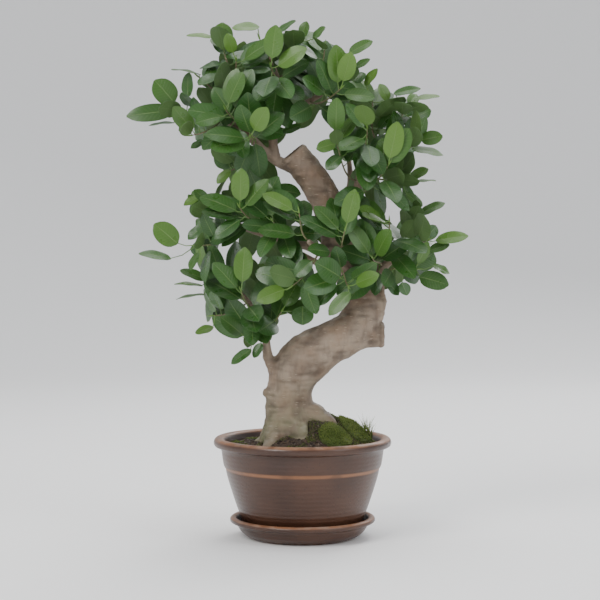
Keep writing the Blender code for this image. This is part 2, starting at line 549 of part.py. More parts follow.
def leaf_try(shoot, number, count, attempt, path):
    """Where leaf `number` of a shoot would stand: its foot on the twig, blade start, tip, face and width."""
    rng = random.Random(shoot * 100003 + number * 1009 + attempt * 31)
    place = number / max(1, count - 1)
    share = BARE_SHARE + (1 - BARE_SHARE) * place
    foot, forward, radius = along_path(path, share)
    turn = number * GOLDEN_ANGLE + shoot * 1.7 + attempt * 0.9 + rng.uniform(-0.35, 0.35)
    side = forward.cross(Vector((0.31, 0.17, 0.93))).normalized()
    radial = Matrix.Rotation(turn, 3, forward) @ side
    opening = math.radians(72 - 40 * place**2 + rng.uniform(-16, 28))
    heading = (forward * math.cos(opening) + radial * math.sin(opening)).normalized()
    length = (LEAF_LENGTH - 0.008 * place**3) * rng.uniform(0.80, 1.15) * (1 - 0.012 * attempt)
    stalk = rng.uniform(*STALK_LENGTH)
    face = forward * 0.7 + Vector((rng.uniform(-0.3, 0.3), rng.uniform(-0.75, 0.1), rng.uniform(0.1, 0.8)))
    face = (face - heading * face.dot(heading)).normalized()
    start = foot + heading * stalk
    return foot, start, start + heading * length, face, length * rng.uniform(*LEAF_WIDTH)


def reaching_leaf(row, paths):
    """A hand-set leaf: it grows from the nearest twig, at that twig's depth."""
    x0, z0, x1, z1, width, roll = row
    best = None
    for shoot, path in enumerate(paths):
        for i in range(2, 11):
            spot = along_path(path, i / 10)[0]
            reach = math.hypot(spot.x - x0, spot.z - z0) + 0.25 * abs(spot.y)
            if best is None or reach < best[0]:
                best = (reach, shoot, spot)
    _, shoot, foot = best
    start = Vector((x0, foot.y - 0.002, z0))
    tip = Vector((x1, foot.y - 0.004, z1))
    heading = (tip - start).normalized()
    face = Matrix.Rotation(math.radians(roll), 3, heading) @ Vector((0, -1, 0))
    if face.z < 0:
        face = Matrix.Rotation(math.radians(-roll), 3, heading) @ Vector((0, -1, 0))
    face = (face - heading * face.dot(heading)).normalized()
    return shoot, (foot, start, tip, face, width)


def leaf_sections(leaf, swell=0.0):
    """Triangles across the leaf, where each has the blade's two edges and its midrib, and the tip."""
    foot, start, tip, face, width = leaf
    axis = tip - start
    side = axis.cross(face).normalized()
    stalk = LEAF_STALK_RADIUS + swell
    bend = side.cross((start - foot).normalized() + axis.normalized()).normalized()
    sections = [[start - side * stalk, start + side * stalk, start - bend * stalk * 2]]
    for place, breadth, rise in LEAF_OUTLINE:
        middle = start + axis * place + face * rise * axis.length
        half = width * breadth / 2 + swell
        upper = face * swell
        keel = middle - face * (LEAF_KEEL + swell)
        sections.append([middle + upper - side * half, middle + upper + side * half, keel])
    return sections, tip + axis.normalized() * swell


def ring_walls(count):
    """The faces between triangular sections and then to a tip, which is the last of the points."""
    walls = []
    for first in range(0, count - 4, 3):
        for j in range(3):
            k = (j + 1) % 3
            walls.append([first + j, first + k, first + 3 + k, first + 3 + j])
    last = count - 1
    return walls + [[last - 3, last - 2, last], [last - 2, last - 1, last], [last - 1, last - 3, last]]


def leaf_tree(leaf, swell):
    """A search tree over a leaf swollen by a clearance, leaving out the foot of its stalk."""
    sections, tip = leaf_sections(leaf, swell)
    foot, start = leaf[0], leaf[1]
    lower = foot + (start - foot).normalized() * (TWIG_BASE_RADIUS + swell)
    sections = [[point + (lower - start) for point in sections[0]], *sections]
    points = [point for section in sections for point in section] + [tip]
    faces = ring_walls(len(points))
    return BVHTree.FromPolygons(points, faces), points, faces


def in_polygon(x, z, outline):
    inside = False
    for (xa, za), (xb, zb) in zip(outline, outline[1:] + outline[:1]):
        if (za > z) != (zb > z) and x < xa + (z - za) * (xb - xa) / (zb - za):
            inside = not inside
    return inside


def seen_at(point):
    """Where the point appears on the upright plane through the tree, from the viewing point."""
    scale = -VIEWING_POINT.y / (point.y - VIEWING_POINT.y)
    return point.x * scale, VIEWING_POINT.z + (point.z - VIEWING_POINT.z) * scale


def in_crown(leaf):
    """True if the leaf, seen from the front, keeps within the crown's outline and out of its windows."""
    sections, tip = leaf_sections(leaf)
    edges = [point for section in sections for point in section[:2]]
    for spot in [*edges, leaf[1].lerp(tip, 0.92)]:
        x, z = seen_at(spot)
        if not in_polygon(x, z, CROWN_OUTLINE) or in_polygon(x, z, LIMB_WINDOW):
            return False
        if any(abs(x - cx) < w and abs(z - cz) < h for cx, cz, w, h in SMALL_WINDOWS):
            return False
    return True


def cells_under(leaf):
    """The cells of the front view that the leaf covers."""
    sections, tip = leaf_sections(leaf)
    left = [seen_at(section[0]) for section in sections]
    right = [seen_at(section[1]) for section in reversed(sections)]
    outline = [*left, seen_at(tip), *right]
    xs, zs = zip(*outline)
    cells = set()
    for i in range(math.floor(min(xs) / CELL), math.ceil(max(xs) / CELL)):
        for k in range(math.floor(min(zs) / CELL), math.ceil(max(zs) / CELL)):
            if in_polygon((i + 0.5) * CELL, (k + 0.5) * CELL, outline):
                cells.add((i, k))
    return cells


class Canopy:
    """The leaves placed so far. The next one keeps clear of them and turns to where light comes through."""

    CLEARANCE = 0.0008

    def __init__(self, wood_tree, twig_trees):
        self.wood_tree = wood_tree
        self.twig_trees = twig_trees
        self.points = []
        self.faces = []
        self.tree = None
        self.shaded = {}

    def light(self, leaf):
        """How much light is left where the leaf would spread: full, half or a quarter in each cell."""
        return sum(0.5 ** self.shaded.get(cell, 0) for cell in cells_under(leaf))

    def is_free(self, leaf, own_twig=None):
        """True if the leaf touches nothing, apart from the twig that it may name as its own."""
        tree, _, _ = leaf_tree(leaf, self.CLEARANCE)
        if tree.overlap(self.wood_tree) or (self.tree and tree.overlap(self.tree)):
            return False
        return not any(i != own_twig and tree.overlap(twig) for i, twig in enumerate(self.twig_trees))

    def add(self, leaf):
        _, points, faces = leaf_tree(leaf, 0.0)
        first = len(self.points)
        self.points += points
        self.faces += [[first + i for i in face] for face in faces]
        self.tree = BVHTree.FromPolygons(self.points, self.faces)
        for cell in cells_under(leaf):
            self.shaded[cell] = self.shaded.get(cell, 0) + 1


def grow_leaves(paths, wood_tree):
    """Chooses every shoot's leaves: the reaching ones first, then each twig's own from its tip down."""
    twig_trees = [BVHTree.FromPolygons(*mesh_lists(tube_mesh("twig", p, 0))) for p in paths]
    canopy = Canopy(wood_tree, twig_trees)
    leaves = [[] for _ in paths]
    for row in REACHING_LEAVES:
        shoot, leaf = reaching_leaf(row, paths)
        if canopy.is_free(leaf, own_twig=shoot):
            canopy.add(leaf)
            leaves[shoot].append(leaf)
    leafy = [path_length(p) * (1 - BARE_SHARE) for p in paths]
    counts = [max(FEWEST_LEAVES, round(length / LEAF_SPACING)) for length in leafy]
    for round_number in range(max(counts)):
        for shoot, path in enumerate(paths):
            number = counts[shoot] - 1 - round_number
            if number < 0:
                continue
            tries = [leaf_try(shoot, number, counts[shoot], i, path) for i in range(LEAF_TRIES)]
            tries = [(canopy.light(leaf), i) for i, leaf in enumerate(tries) if in_crown(leaf)]
            for _, attempt in sorted(tries, reverse=True):
                leaf = leaf_try(shoot, number, counts[shoot], attempt, path)
                if canopy.is_free(leaf):
                    canopy.add(leaf)
                    leaves[shoot].append(leaf)
                    break
    return leaves


def mesh_lists(mesh):
    lists = [v.co.copy() for v in mesh.vertices], [list(f.vertices) for f in mesh.polygons]
    bpy.data.meshes.remove(mesh)
    return lists


def best_turn(corners, ring):
    """The ring's points in the order that matches a face's corners with the least travel."""
    turns = [ring[i:] + ring[:i] for i in range(3)]
    return min(turns, key=lambda turn: sum((a - b).length for a, b in zip(corners, turn)))


def leaf_from_face(face, leaf):
    """The leaf's sections, the first of which is a face of the twig, and its tip. None if the stalk would
    leave the face at a slant, or the blade would turn back along the stalk."""
    heading = (leaf[1] - face.calc_center_median()).normalized()
    axis = (leaf[2] - leaf[1]).normalized()
    if face.normal.dot(heading) < LEAST_FACING or axis.dot(heading) < SHARPEST_BEND:
        return None
    rings = [[v.co.copy() for v in face.verts]]
    sections, tip = leaf_sections(leaf)
    for section in sections:
        rings.append(best_turn(rings[-1], section))
    return rings, tip


def leaf_face(bm, leaf, free_faces):
    """The free face of the twig nearest the stalk from which the leaf passes through nothing of the shoot."""
    wanted = leaf[0] + (leaf[1] - leaf[0]).normalized() * TWIG_BASE_RADIUS
    shoot_tree = BVHTree.FromBMesh(bm)
    nearest = sorted(free_faces, key=lambda f: (f.calc_center_median() - wanted).length)
    for face in nearest[:STALK_TRIES]:
        grown = leaf_from_face(face, leaf)
        if grown is None:
            continue
        points = [p for ring in grown[0] for p in ring] + [grown[1]]
        beside = {f.index for v in face.verts for f in v.link_faces}
        met = BVHTree.FromPolygons(points, ring_walls(len(points))).overlap(shoot_tree)
        if all(wall < 3 and other in beside for wall, other in met):
            return face
    return None


def split_outward(wall):
    """Splits a four-sided wall along the diagonal that makes it bulge, so that a twist never folds it in."""
    a, b, c, d = wall.verts
    bulges = (b.co - a.co).cross(c.co - a.co).dot(d.co - a.co) <= 0
    bmesh.utils.face_split(wall, *((a, c) if bulges else (b, d)))


def extrude_leaf(bm, leaf, free_faces):
    """Grows a leaf out of a face of the twig, section by section, then draws it to a point."""
    bm.faces.index_update()
    bm.normal_update()
    face = leaf_face(bm, leaf, free_faces)
    if face is None:
        return
    free_faces.remove(face)
    rings, tip = leaf_from_face(face, leaf)
    for last, ring in zip(rings, rings[1:]):
        face = bmesh.ops.extrude_discrete_faces(bm, faces=[face])["faces"][0]
        for vert in face.verts:
            vert.co = ring[min(range(3), key=lambda i: (last[i] - vert.co).length)]
        walls = [wall for edge in face.edges for wall in edge.link_faces if wall is not face]
        for wall in walls:
            split_outward(wall)
    bmesh.ops.poke(bm, faces=[face])["verts"][0].co = tip


def make_shoot(name, path, leaves, collection, material):
    """One closed body: the twig with its leaves grown out of its own faces."""
    bm = bmesh.new()
    bm.from_mesh(tube_mesh(name, path, 0))
    bmesh.ops.triangulate(bm, faces=bm.faces[:])
    bm.normal_update()
    free_faces = list(bm.faces)
    for leaf in leaves:
        extrude_leaf(bm, leaf, free_faces)
    add_object(name, mesh_from(bm, name), collection, material)


def main():
    clear_scene()
    bonsai = bpy.data.collections.new("bonsai")
    helpers = bpy.data.collections.new("cutters and limbs")
    bpy.context.scene.collection.children.link(bonsai)
    bpy.context.scene.collection.children.link(helpers)
    materials = {
        "glaze": make_material("glaze", (0.075, 0.050, 0.040), 0.25),
        "mesh": make_material("drain mesh plastic", (0.02, 0.02, 0.02), 0.6),
        "soil": make_material("soil", (0.060, 0.040, 0.028), 0.95),
        "moss": make_material("moss", (0.090, 0.150, 0.030), 0.9),
        "bark": make_material("bark", (0.330, 0.270, 0.210), 0.75),
        "leaf": make_material("leaf", (0.050, 0.160, 0.035), 0.35),
    }
    turned("saucer", SAUCER_OUTLINE, bonsai, materials["glaze"])
    turned("pot", POT_OUTER + POT_INNER, bonsai, materials["glaze"])
    make_drain_mesh(bonsai, materials["mesh"])
    soil = make_soil(bonsai, materials["soil"])
    paths = wood_paths()
    trunk = make_trunk(paths, bonsai, helpers, materials["bark"])
    cut_soil_round(soil, paths, helpers)
    reach = DRAIN_MESH_SIDE / 2 + 2 * FIT_GAP
    ceiling = POT_FLOOR_Z + DRAIN_MESH_THICKNESS + 3 * FIT_GAP
    room = box_mesh("drain_mesh_room", (-reach, -reach, POT_FOOT_Z), (reach, reach, ceiling))
    add_boolean(soil, add_object("drain_mesh_room", room, helpers), "DIFFERENCE")
    moss = [make_moss(i, row, bonsai, materials["moss"]) for i, row in enumerate(MOSS, 1)]
    wood_tree = triangle_tree(trunk)
    everything = triangle_tree(trunk, soil, *moss)
    twigs = [twig_path(paths[branch], share, tip, wood_tree) for branch, share, tip in SHOOTS]
    leaves = grow_leaves(twigs, everything)
    for number, (path, found) in enumerate(zip(twigs, leaves), 1):
        make_shoot(f"shoot_{number:02d}", path, found, bonsai, materials["leaf"])
    for helper in helpers.objects:
        helper.hide_render = True
        helper.display_type = "WIRE"


main()
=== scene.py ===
# %% [markdown]
# # A fig bonsai in a glazed pot
# This lesson dresses a finished solid model of a potted fig bonsai. The solids give every size and
# place: a turned pot and saucer, a mound of soil, one grown trunk and fifty-two leafy shoots. We never
# move them. We either give a solid a better material, or hide it and put a finer piece in its place.

# %% Load the solid model
import math
import random
from itertools import combinations

import bmesh
import bpy
import numpy as np
from mathutils import Matrix, Vector, noise
from mathutils.bvhtree import BVHTree


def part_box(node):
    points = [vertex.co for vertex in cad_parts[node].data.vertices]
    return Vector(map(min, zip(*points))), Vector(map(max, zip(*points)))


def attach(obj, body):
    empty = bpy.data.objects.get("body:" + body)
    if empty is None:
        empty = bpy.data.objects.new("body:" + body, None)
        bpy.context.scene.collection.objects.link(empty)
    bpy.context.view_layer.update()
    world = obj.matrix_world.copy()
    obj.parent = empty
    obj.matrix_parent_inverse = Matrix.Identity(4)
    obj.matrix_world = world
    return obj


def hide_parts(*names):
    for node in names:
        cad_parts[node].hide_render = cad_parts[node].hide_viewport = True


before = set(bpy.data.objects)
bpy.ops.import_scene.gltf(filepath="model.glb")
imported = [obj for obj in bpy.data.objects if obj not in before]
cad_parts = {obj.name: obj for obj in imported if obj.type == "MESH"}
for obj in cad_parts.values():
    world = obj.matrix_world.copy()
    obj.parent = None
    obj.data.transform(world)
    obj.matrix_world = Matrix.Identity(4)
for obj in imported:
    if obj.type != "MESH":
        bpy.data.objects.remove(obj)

MM = 0.001
UP = Vector((0.0, 0.0, 1.0))
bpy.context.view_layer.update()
scene = bpy.context.scene

# %% [markdown]
# ## Camera, floor and light
# A tree like this is judged from its front, a little above the pot's rim, so the camera stands two
# metres away at that height with a long lens, which keeps the pot's ellipses shallow. The floor is a
# wide shallow bowl that sweeps up all round, like studio paper, so that no horizon shows. The light
# comes from broad soft lamps. A broad lamp gives glossy leaves a soft highlight instead of a hard spark.

# %% Camera
CAMERA_PLACE = Vector((0.0, -2.0, 0.36))
CAMERA_TILT = math.radians(-2.3)
camera_data = bpy.data.cameras.new("front view")
camera_data.lens = 102
camera_data.shift_x = -0.0042
camera = bpy.data.objects.new("front_view", camera_data)
camera.location = CAMERA_PLACE
camera.rotation_euler = (math.pi / 2 + CAMERA_TILT, 0.0, 0.0)
scene.collection.objects.link(camera)
scene.camera = camera
print("camera", tuple(CAMERA_PLACE), "tilt", round(math.degrees(CAMERA_TILT), 1), "degrees")


# %% Floor sheet
def node(tree, kind, inputs=(), **settings):
    """Adds a shader node. An input is a value to set or a socket to join."""
    made = tree.nodes.new("ShaderNode" + kind)
    for name, value in settings.items():
        setattr(made, name, value)
    for name, value in dict(inputs).items():
        if isinstance(value, bpy.types.NodeSocket):
            tree.links.new(value, made.inputs[name])
        else:
            made.inputs[name].default_value = value
    return made


def new_material(name):
    """A material with a lone Principled shader: its tree and that shader."""
    material = bpy.data.materials.new(name)
    material.use_nodes = True
    return material, material.node_tree, material.node_tree.nodes["Principled BSDF"]


FLOOR_RADIUS, BEND_RADIUS = 2.2, 2.2     # metres
BEND_END, BEND_STEP = 80, 5              # degrees
floor_rows = [(0.0, 0.0), (FLOOR_RADIUS, 0.0)]
for angle in range(BEND_STEP, BEND_END + 1, BEND_STEP):
    turn = math.radians(angle)
    floor_rows.append((FLOOR_RADIUS + BEND_RADIUS * math.sin(turn), BEND_RADIUS * (1 - math.cos(turn))))
bm = bmesh.new()
corners = [bm.verts.new((radius, 0.0, height)) for radius, height in floor_rows]
rim = [bm.edges.new(pair) for pair in zip(corners, corners[1:])]
bmesh.ops.spin(bm, geom=corners + rim, axis=UP, cent=(0, 0, 0), steps=96, angle=math.tau)
bmesh.ops.remove_doubles(bm, verts=bm.verts, dist=1e-5)
floor_mesh = bpy.data.meshes.new("floor_sheet")
bm.to_mesh(floor_mesh)
bm.free()
floor_mesh.shade_smooth()
floor = bpy.data.objects.new("floor_sheet", floor_mesh)
scene.collection.objects.link(floor)
floor_paint, _, floor_shader = new_material("floor paper")
floor_shader.inputs["Base Color"].default_value = (0.93, 0.93, 0.925, 1.0)
floor_shader.inputs["Roughness"].default_value = 0.9
floor_mesh.materials.append(floor_paint)
print("floor rows:", len(floor_rows))


# %% Lamps
def soft_lamp(name, place, aim, size, watts, colour=(1.0, 1.0, 1.0)):
    lamp_data = bpy.data.lights.new(name, "AREA")
    lamp_data.size = size
    lamp_data.energy = watts
    lamp_data.color = colour
    lamp = bpy.data.objects.new(name, lamp_data)
    lamp.location = place
    lamp.rotation_euler = (Vector(aim) - Vector(place)).to_track_quat("-Z", "Y").to_euler()
    scene.collection.objects.link(lamp)


CROWN_MIDDLE = (0.0, 0.0, 0.35)
soft_lamp("key_lamp", (-1.6, -1.9, 2.0), CROWN_MIDDLE, 1.4, 62, (1.0, 0.985, 0.96))
soft_lamp("fill_lamp", (2.1, -1.5, 1.7), CROWN_MIDDLE, 1.5, 28, (0.95, 0.975, 1.0))
soft_lamp("top_lamp", (0.2, 0.5, 2.4), CROWN_MIDDLE, 1.6, 34)
soft_lamp("back_lamp", (1.0, 2.0, 1.7), CROWN_MIDDLE, 1.2, 24)
world = bpy.data.worlds.new("studio")
world.use_nodes = True
world.node_tree.nodes["Background"].inputs["Color"].default_value = (0.93, 0.95, 1.0, 1.0)
world.node_tree.nodes["Background"].inputs["Strength"].default_value = 0.55
scene.world = world

# %% [markdown]
# ## Effects that several materials share
# Fired clay, bark, leaves and soil all vary from place to place: broad cloudy patches, small specks,
# a fine grain that you only notice in the highlight, and a little lime dust where water dries. Each
# of those is a node group, built once. A group puts out masks and heights only, and the material
# decides what colour or roughness they stand for.


# %% Node group helpers
def new_group(name, inputs, outputs):
    """A shader node group with float or vector sockets: the group and its input and output nodes."""
    group = bpy.data.node_groups.new(name, "ShaderNodeTree")
    for socket, kind, value in inputs:
        made = group.interface.new_socket(socket, in_out="INPUT", socket_type="NodeSocket" + kind)
        if value is not None:
            made.default_value = value
    for socket in outputs:
        group.interface.new_socket(socket, in_out="OUTPUT", socket_type="NodeSocketFloat")
    return group, group.nodes.new("NodeGroupInput").outputs, group.nodes.new("NodeGroupOutput").inputs


def math_node(tree, operation, *values):
    made = tree.nodes.new("ShaderNodeMath")
    made.operation = operation
    for socket, value in zip(made.inputs, values):
        if isinstance(value, bpy.types.NodeSocket):
            tree.links.new(value, socket)
        else:
            socket.default_value = value
    return made.outputs[0]


def map_range(tree, value, low, high, new_low=0.0, new_high=1.0):
    places = {"Value": value, "From Min": low, "From Max": high, "To Min": new_low, "To Max": new_high}
    return node(tree, "MapRange", places, interpolation_type="SMOOTHSTEP").outputs[0]


def mix_colour(tree, factor, first, second):
    """A colour between two, each a socket or an (r, g, b)."""
    made = tree.nodes.new("ShaderNodeMix")
    made.data_type = "RGBA"
    for socket, value in ((made.inputs[0], factor), (made.inputs[6], first), (made.inputs[7], second)):
        if isinstance(value, bpy.types.NodeSocket):
            tree.links.new(value, socket)
        else:
            socket.default_value = (*value, 1.0) if isinstance(value, tuple) else value
    return made.outputs[2]


# %% Cloudy patches
patches, g_in, g_out = new_group(
    "Cloudy patches",
    [
        ("Vector", "Vector", None), ("Scale", "Float", 20.0),
        ("Coverage", "Float", 0.5), ("Softness", "Float", 0.15),
    ],
    ["Mask"],
)
cloud = node(patches, "TexNoise", {"Vector": g_in["Vector"], "Scale": g_in["Scale"], "Detail": 6.0})
uncovered = math_node(patches, "SUBTRACT", 1.0, g_in["Coverage"])
low = math_node(patches, "SUBTRACT", uncovered, g_in["Softness"])
high = math_node(patches, "ADD", uncovered, g_in["Softness"])
patches.links.new(map_range(patches, cloud.outputs[0], low, high), g_out["Mask"])
print("group:", patches.name)

# %% Specks
specks, g_in, g_out = new_group(
    "Specks",
    [("Vector", "Vector", None), ("Scale", "Float", 300.0), ("Size", "Float", 0.25), ("Share", "Float", 0.3)],
    ["Mask"],
)
cells = node(specks, "TexVoronoi", {"Vector": g_in["Vector"], "Scale": g_in["Scale"]})
core = math_node(specks, "MULTIPLY", g_in["Size"], 0.6)
round_spot = map_range(specks, cells.outputs["Distance"], g_in["Size"], core)
pick = node(specks, "SeparateColor", {"Color": cells.outputs["Color"]}).outputs[0]
chosen = math_node(specks, "LESS_THAN", pick, g_in["Share"])
specks.links.new(math_node(specks, "MULTIPLY", round_spot, chosen), g_out["Mask"])
print("group:", specks.name)

# %% Fine grain
grain, g_in, g_out = new_group(
    "Fine grain",
    [
        ("Vector", "Vector", None), ("Coarse scale", "Float", 90.0),
        ("Fine scale", "Float", 600.0), ("Fine share", "Float", 0.3),
    ],
    ["Height"],
)
coarse = node(grain, "TexNoise", {"Vector": g_in["Vector"], "Scale": g_in["Coarse scale"], "Detail": 4.0})
fine = node(grain, "TexNoise", {"Vector": g_in["Vector"], "Scale": g_in["Fine scale"], "Detail": 3.0})
share = math_node(grain, "MULTIPLY", fine.outputs[0], g_in["Fine share"])
grain.links.new(math_node(grain, "ADD", coarse.outputs[0], share), g_out["Height"])
print("group:", grain.name)

# %% Lime dust on faces that look up
dust, g_in, g_out = new_group(
    "Lime dust", [("Vector", "Vector", None), ("Scale", "Float", 60.0), ("Amount", "Float", 0.5)], ["Mask"]
)
upward = node(dust, "SeparateXYZ", {"Vector": node(dust, "NewGeometry").outputs["Normal"]}).outputs[2]
cloud = node(dust, "TexNoise", {"Vector": g_in["Vector"], "Scale": g_in["Scale"], "Detail": 5.0}).outputs[0]
broken = map_range(dust, cloud, 0.42, 0.68)
faces_up = map_range(dust, upward, 0.35, 0.95)
wide = math_node(dust, "MULTIPLY", broken, faces_up)
dust.links.new(math_node(dust, "MULTIPLY", wide, g_in["Amount"]), g_out["Mask"])
print("group:", dust.name)


# %% Placing a group in a material
def effect(tree, group, **values):
    """The first output of a group, with its inputs set or joined."""
    made = tree.nodes.new("ShaderNodeGroup")
    made.node_tree = group
    for name, value in values.items():
        socket = made.inputs[name.replace("_", " ")]
        if isinstance(value, bpy.types.NodeSocket):
            tree.links.new(value, socket)
        else:
            socket.default_value = value
    return made.outputs[0]


def bump(tree, shader, height, distance, strength=1.0):
    made = node(tree, "Bump", {"Height": height, "Distance": distance, "Strength": strength})
    tree.links.new(made.outputs[0], shader.inputs["Normal"])


# %% [markdown]
# ## Glaze
# The pot and the saucer are stoneware under one dark brown glaze. On a real pot the glaze runs thin
# over the lip, the raised band and the foot, where the rusty clay shows through, and it pools darker
# in the hollows. Its height on the pot decides where it is thin, so the object's own Z coordinate
# drives a ramp, and cloudy patches break its edge. Throwing rings are a wave along Z in the bump.


# %% Glaze material
def glaze_material(name, thin_places):
    """thin_places lists (height, half width) of the bands where the glaze breaks."""
    material, tree, shader = new_material(name)
    place = node(tree, "TexCoord").outputs["Object"]
    height = node(tree, "SeparateXYZ", {"Vector": place}).outputs[2]
    thin = 0.0
    for middle, half in thin_places:
        away = math_node(tree, "ABSOLUTE", math_node(tree, "SUBTRACT", height, middle))
        thin = math_node(tree, "MAXIMUM", thin, map_range(tree, away, half, half * 0.25))
    clouds = effect(tree, patches, Vector=place, Scale=34.0, Coverage=0.55, Softness=0.22)
    broad = effect(tree, patches, Vector=place, Scale=11.0, Coverage=0.5, Softness=0.3)
    spots = effect(tree, specks, Vector=place, Scale=420.0, Size=0.34, Share=0.16)
    lime = effect(tree, dust, Vector=place, Scale=70.0, Amount=0.35)
    edge = math_node(tree, "MULTIPLY", thin, map_range(tree, clouds, 0.0, 0.8, 0.45, 1.0))
    body = mix_colour(tree, broad, (0.030, 0.013, 0.008), (0.080, 0.034, 0.018))
    body = mix_colour(tree, math_node(tree, "MULTIPLY", spots, 0.6), body, (0.012, 0.008, 0.007))
    body = mix_colour(tree, edge, body, (0.240, 0.105, 0.048))
    body = mix_colour(tree, lime, body, (0.330, 0.300, 0.260))
    tree.links.new(body, shader.inputs["Base Color"])
    rough = map_range(tree, broad, 0.0, 1.0, 0.30, 0.42)
    rough = math_node(tree, "ADD", rough, math_node(tree, "MULTIPLY", edge, 0.16))
    rough = math_node(tree, "ADD", rough, math_node(tree, "MULTIPLY", lime, 0.5))
    tree.links.new(rough, shader.inputs["Roughness"])
    wave = {"Vector": place, "Scale": 62.0, "Distortion": 2.2, "Detail": 2.0, "Detail Scale": 3.0}
    rings = node(tree, "TexWave", wave, wave_type="BANDS", bands_direction="Z").outputs[1]
    grit = effect(tree, grain, Vector=place, Coarse_scale=45.0, Fine_scale=500.0, Fine_share=0.12)
    grit = math_node(tree, "MULTIPLY", grit, 0.5)
    relief = math_node(tree, "ADD", math_node(tree, "MULTIPLY", rings, 0.45), grit)
    bump(tree, shader, relief, 0.0006, 0.6)
    shader.inputs["Specular IOR Level"].default_value = 0.40
    shader.inputs["Coat Weight"].default_value = 0.18
    shader.inputs["Coat Roughness"].default_value = 0.16
    return material


pot_low, pot_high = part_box("pot")
saucer_low, saucer_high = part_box("saucer")
BAND_HEIGHT = 0.70 * pot_high.z
pot_glaze = glaze_material("pot glaze", [(pot_high.z, 4 * MM), (BAND_HEIGHT, 3 * MM), (pot_low.z, 5 * MM)])
saucer_glaze = glaze_material("saucer glaze", [(saucer_high.z, 3 * MM), (saucer_low.z, 2.5 * MM)])
print("glazes:", pot_glaze.name, saucer_glaze.name)

# %% [markdown]
# ## Pot and saucer
# Both solids were turned in few flat facets. Clay comes off the wheel round, so we read the outline back
# from the solid, where it crosses the half plane Y = 0, soften its corners by cutting them twice, and
# spin it round the Z axis again in many steps. The size stays that of the solid.


# %% Turn the outlines again
TURN_STEPS = 144


def add_piece(name, mesh, material, replaced=()):
    """Links a finished mesh as a piece of the object that stands for the replaced solids."""
    piece = bpy.data.objects.new(name, mesh)
    scene.collection.objects.link(piece)
    if not mesh.materials:
        mesh.materials.append(material)
    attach(piece, "root")
    if replaced:
        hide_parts(*replaced)
    return piece


def welded(name):
    """A bmesh of a solid's mesh with its doubled points made one."""
    bm = bmesh.new()
    bm.from_mesh(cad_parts[name].data)
    bmesh.ops.remove_doubles(bm, verts=bm.verts, dist=1e-6)
    return bm


def outline_of(name):
    """The (radius, height) points where a turned solid crosses the half plane Y = 0, X > 0, in order."""
    bm = welded(name)
    on_plane = {v for v in bm.verts if abs(v.co.y) < 1e-6 and v.co.x > -1e-6}
    steps = {v: [e.other_vert(v) for e in v.link_edges if e.other_vert(v) in on_plane] for v in on_plane}
    start = min(on_plane, key=lambda v: (len(steps[v]), v.co.x, v.co.z))
    path, last = [start], None
    while True:
        ahead = [v for v in steps[path[-1]] if v is not last and v not in path]
        if not ahead:
            break
        last = path[-1]
        path.append(min(ahead, key=lambda v: (v.co - last.co).length))
    points = [(v.co.x, v.co.z) for v in path]
    bm.free()
    return points


def cut_corners(points, share=0.22, closed=True):
    """Each corner replaced by two points, so that the outline grows round."""
    pairs = list(zip(points, points[1:] + points[:1] if closed else points[1:]))
    cut = []
    for (xa, za), (xb, zb) in pairs:
        cut.append((xa + (xb - xa) * share, za + (zb - za) * share))
        cut.append((xb + (xa - xb) * share, zb + (za - zb) * share))
    return cut if closed else [points[0], *cut, points[-1]]


def turned_piece(name, solid, material, closed):
    outline = outline_of(solid)
    fine = cut_corners(cut_corners(outline, closed=closed), closed=closed)
    bm = bmesh.new()
    corners = [bm.verts.new((max(0.0, x), 0.0, z)) for x, z in fine]
    for a, b in zip(corners, corners[1:] + corners[:1] if closed else corners[1:]):
        bm.edges.new((a, b))
    outline_parts = bm.verts[:] + bm.edges[:]
    bmesh.ops.spin(bm, geom=outline_parts, axis=UP, cent=(0, 0, 0), steps=TURN_STEPS, angle=math.tau)
    bmesh.ops.remove_doubles(bm, verts=bm.verts, dist=1e-5)
    bmesh.ops.recalc_face_normals(bm, faces=bm.faces)
    mesh = bpy.data.meshes.new(name)
    bm.to_mesh(mesh)
    bm.free()
    mesh.shade_smooth()
    print(name, "outline points:", len(outline), "faces:", len(mesh.polygons))
    return add_piece(name, mesh, material, [solid])


turned_piece("pot_turned", "pot", pot_glaze, closed=True)
turned_piece("saucer_turned", "saucer", saucer_glaze, closed=False)

# %% [markdown]
# ## Trunk
# A fig's trunk has no edges: branches flow out of it through soft collars and the roots melt into its
# foot. A voxel remesh turns the joined tubes of the solid into one even skin, which is then smoothed
# most where the wood is thick, so that thin branches keep their size. Then the skin is pushed in and
# out by noise: broad muscle, ridges that wrap across the trunk, and small warts. Where a limb was sawn
# off, the bark rolls over the edge of the cut and the wood inside has sunk a little.


# %% Skin of the trunk
def remeshed(solid, voxel):
    """A new mesh of a solid, in even squares."""
    bm = welded(solid)
    mesh = bpy.data.meshes.new(solid + "_skin")
    bm.to_mesh(mesh)
    bm.free()
    helper = bpy.data.objects.new(solid + "_skin", mesh)
    scene.collection.objects.link(helper)
    remesh = helper.modifiers.new("even squares", "REMESH")
    remesh.mode = "VOXEL"
    remesh.voxel_size = voxel
    skin = bpy.data.meshes.new_from_object(helper.evaluated_get(bpy.context.evaluated_depsgraph_get()))
    bpy.data.objects.remove(helper)
    return skin


def points_of(mesh):
    flat = np.empty(len(mesh.vertices) * 3)
    mesh.vertices.foreach_get("co", flat)
    return flat.reshape(-1, 3)


def set_points(mesh, points):
    mesh.vertices.foreach_set("co", points.ravel())
    mesh.update()


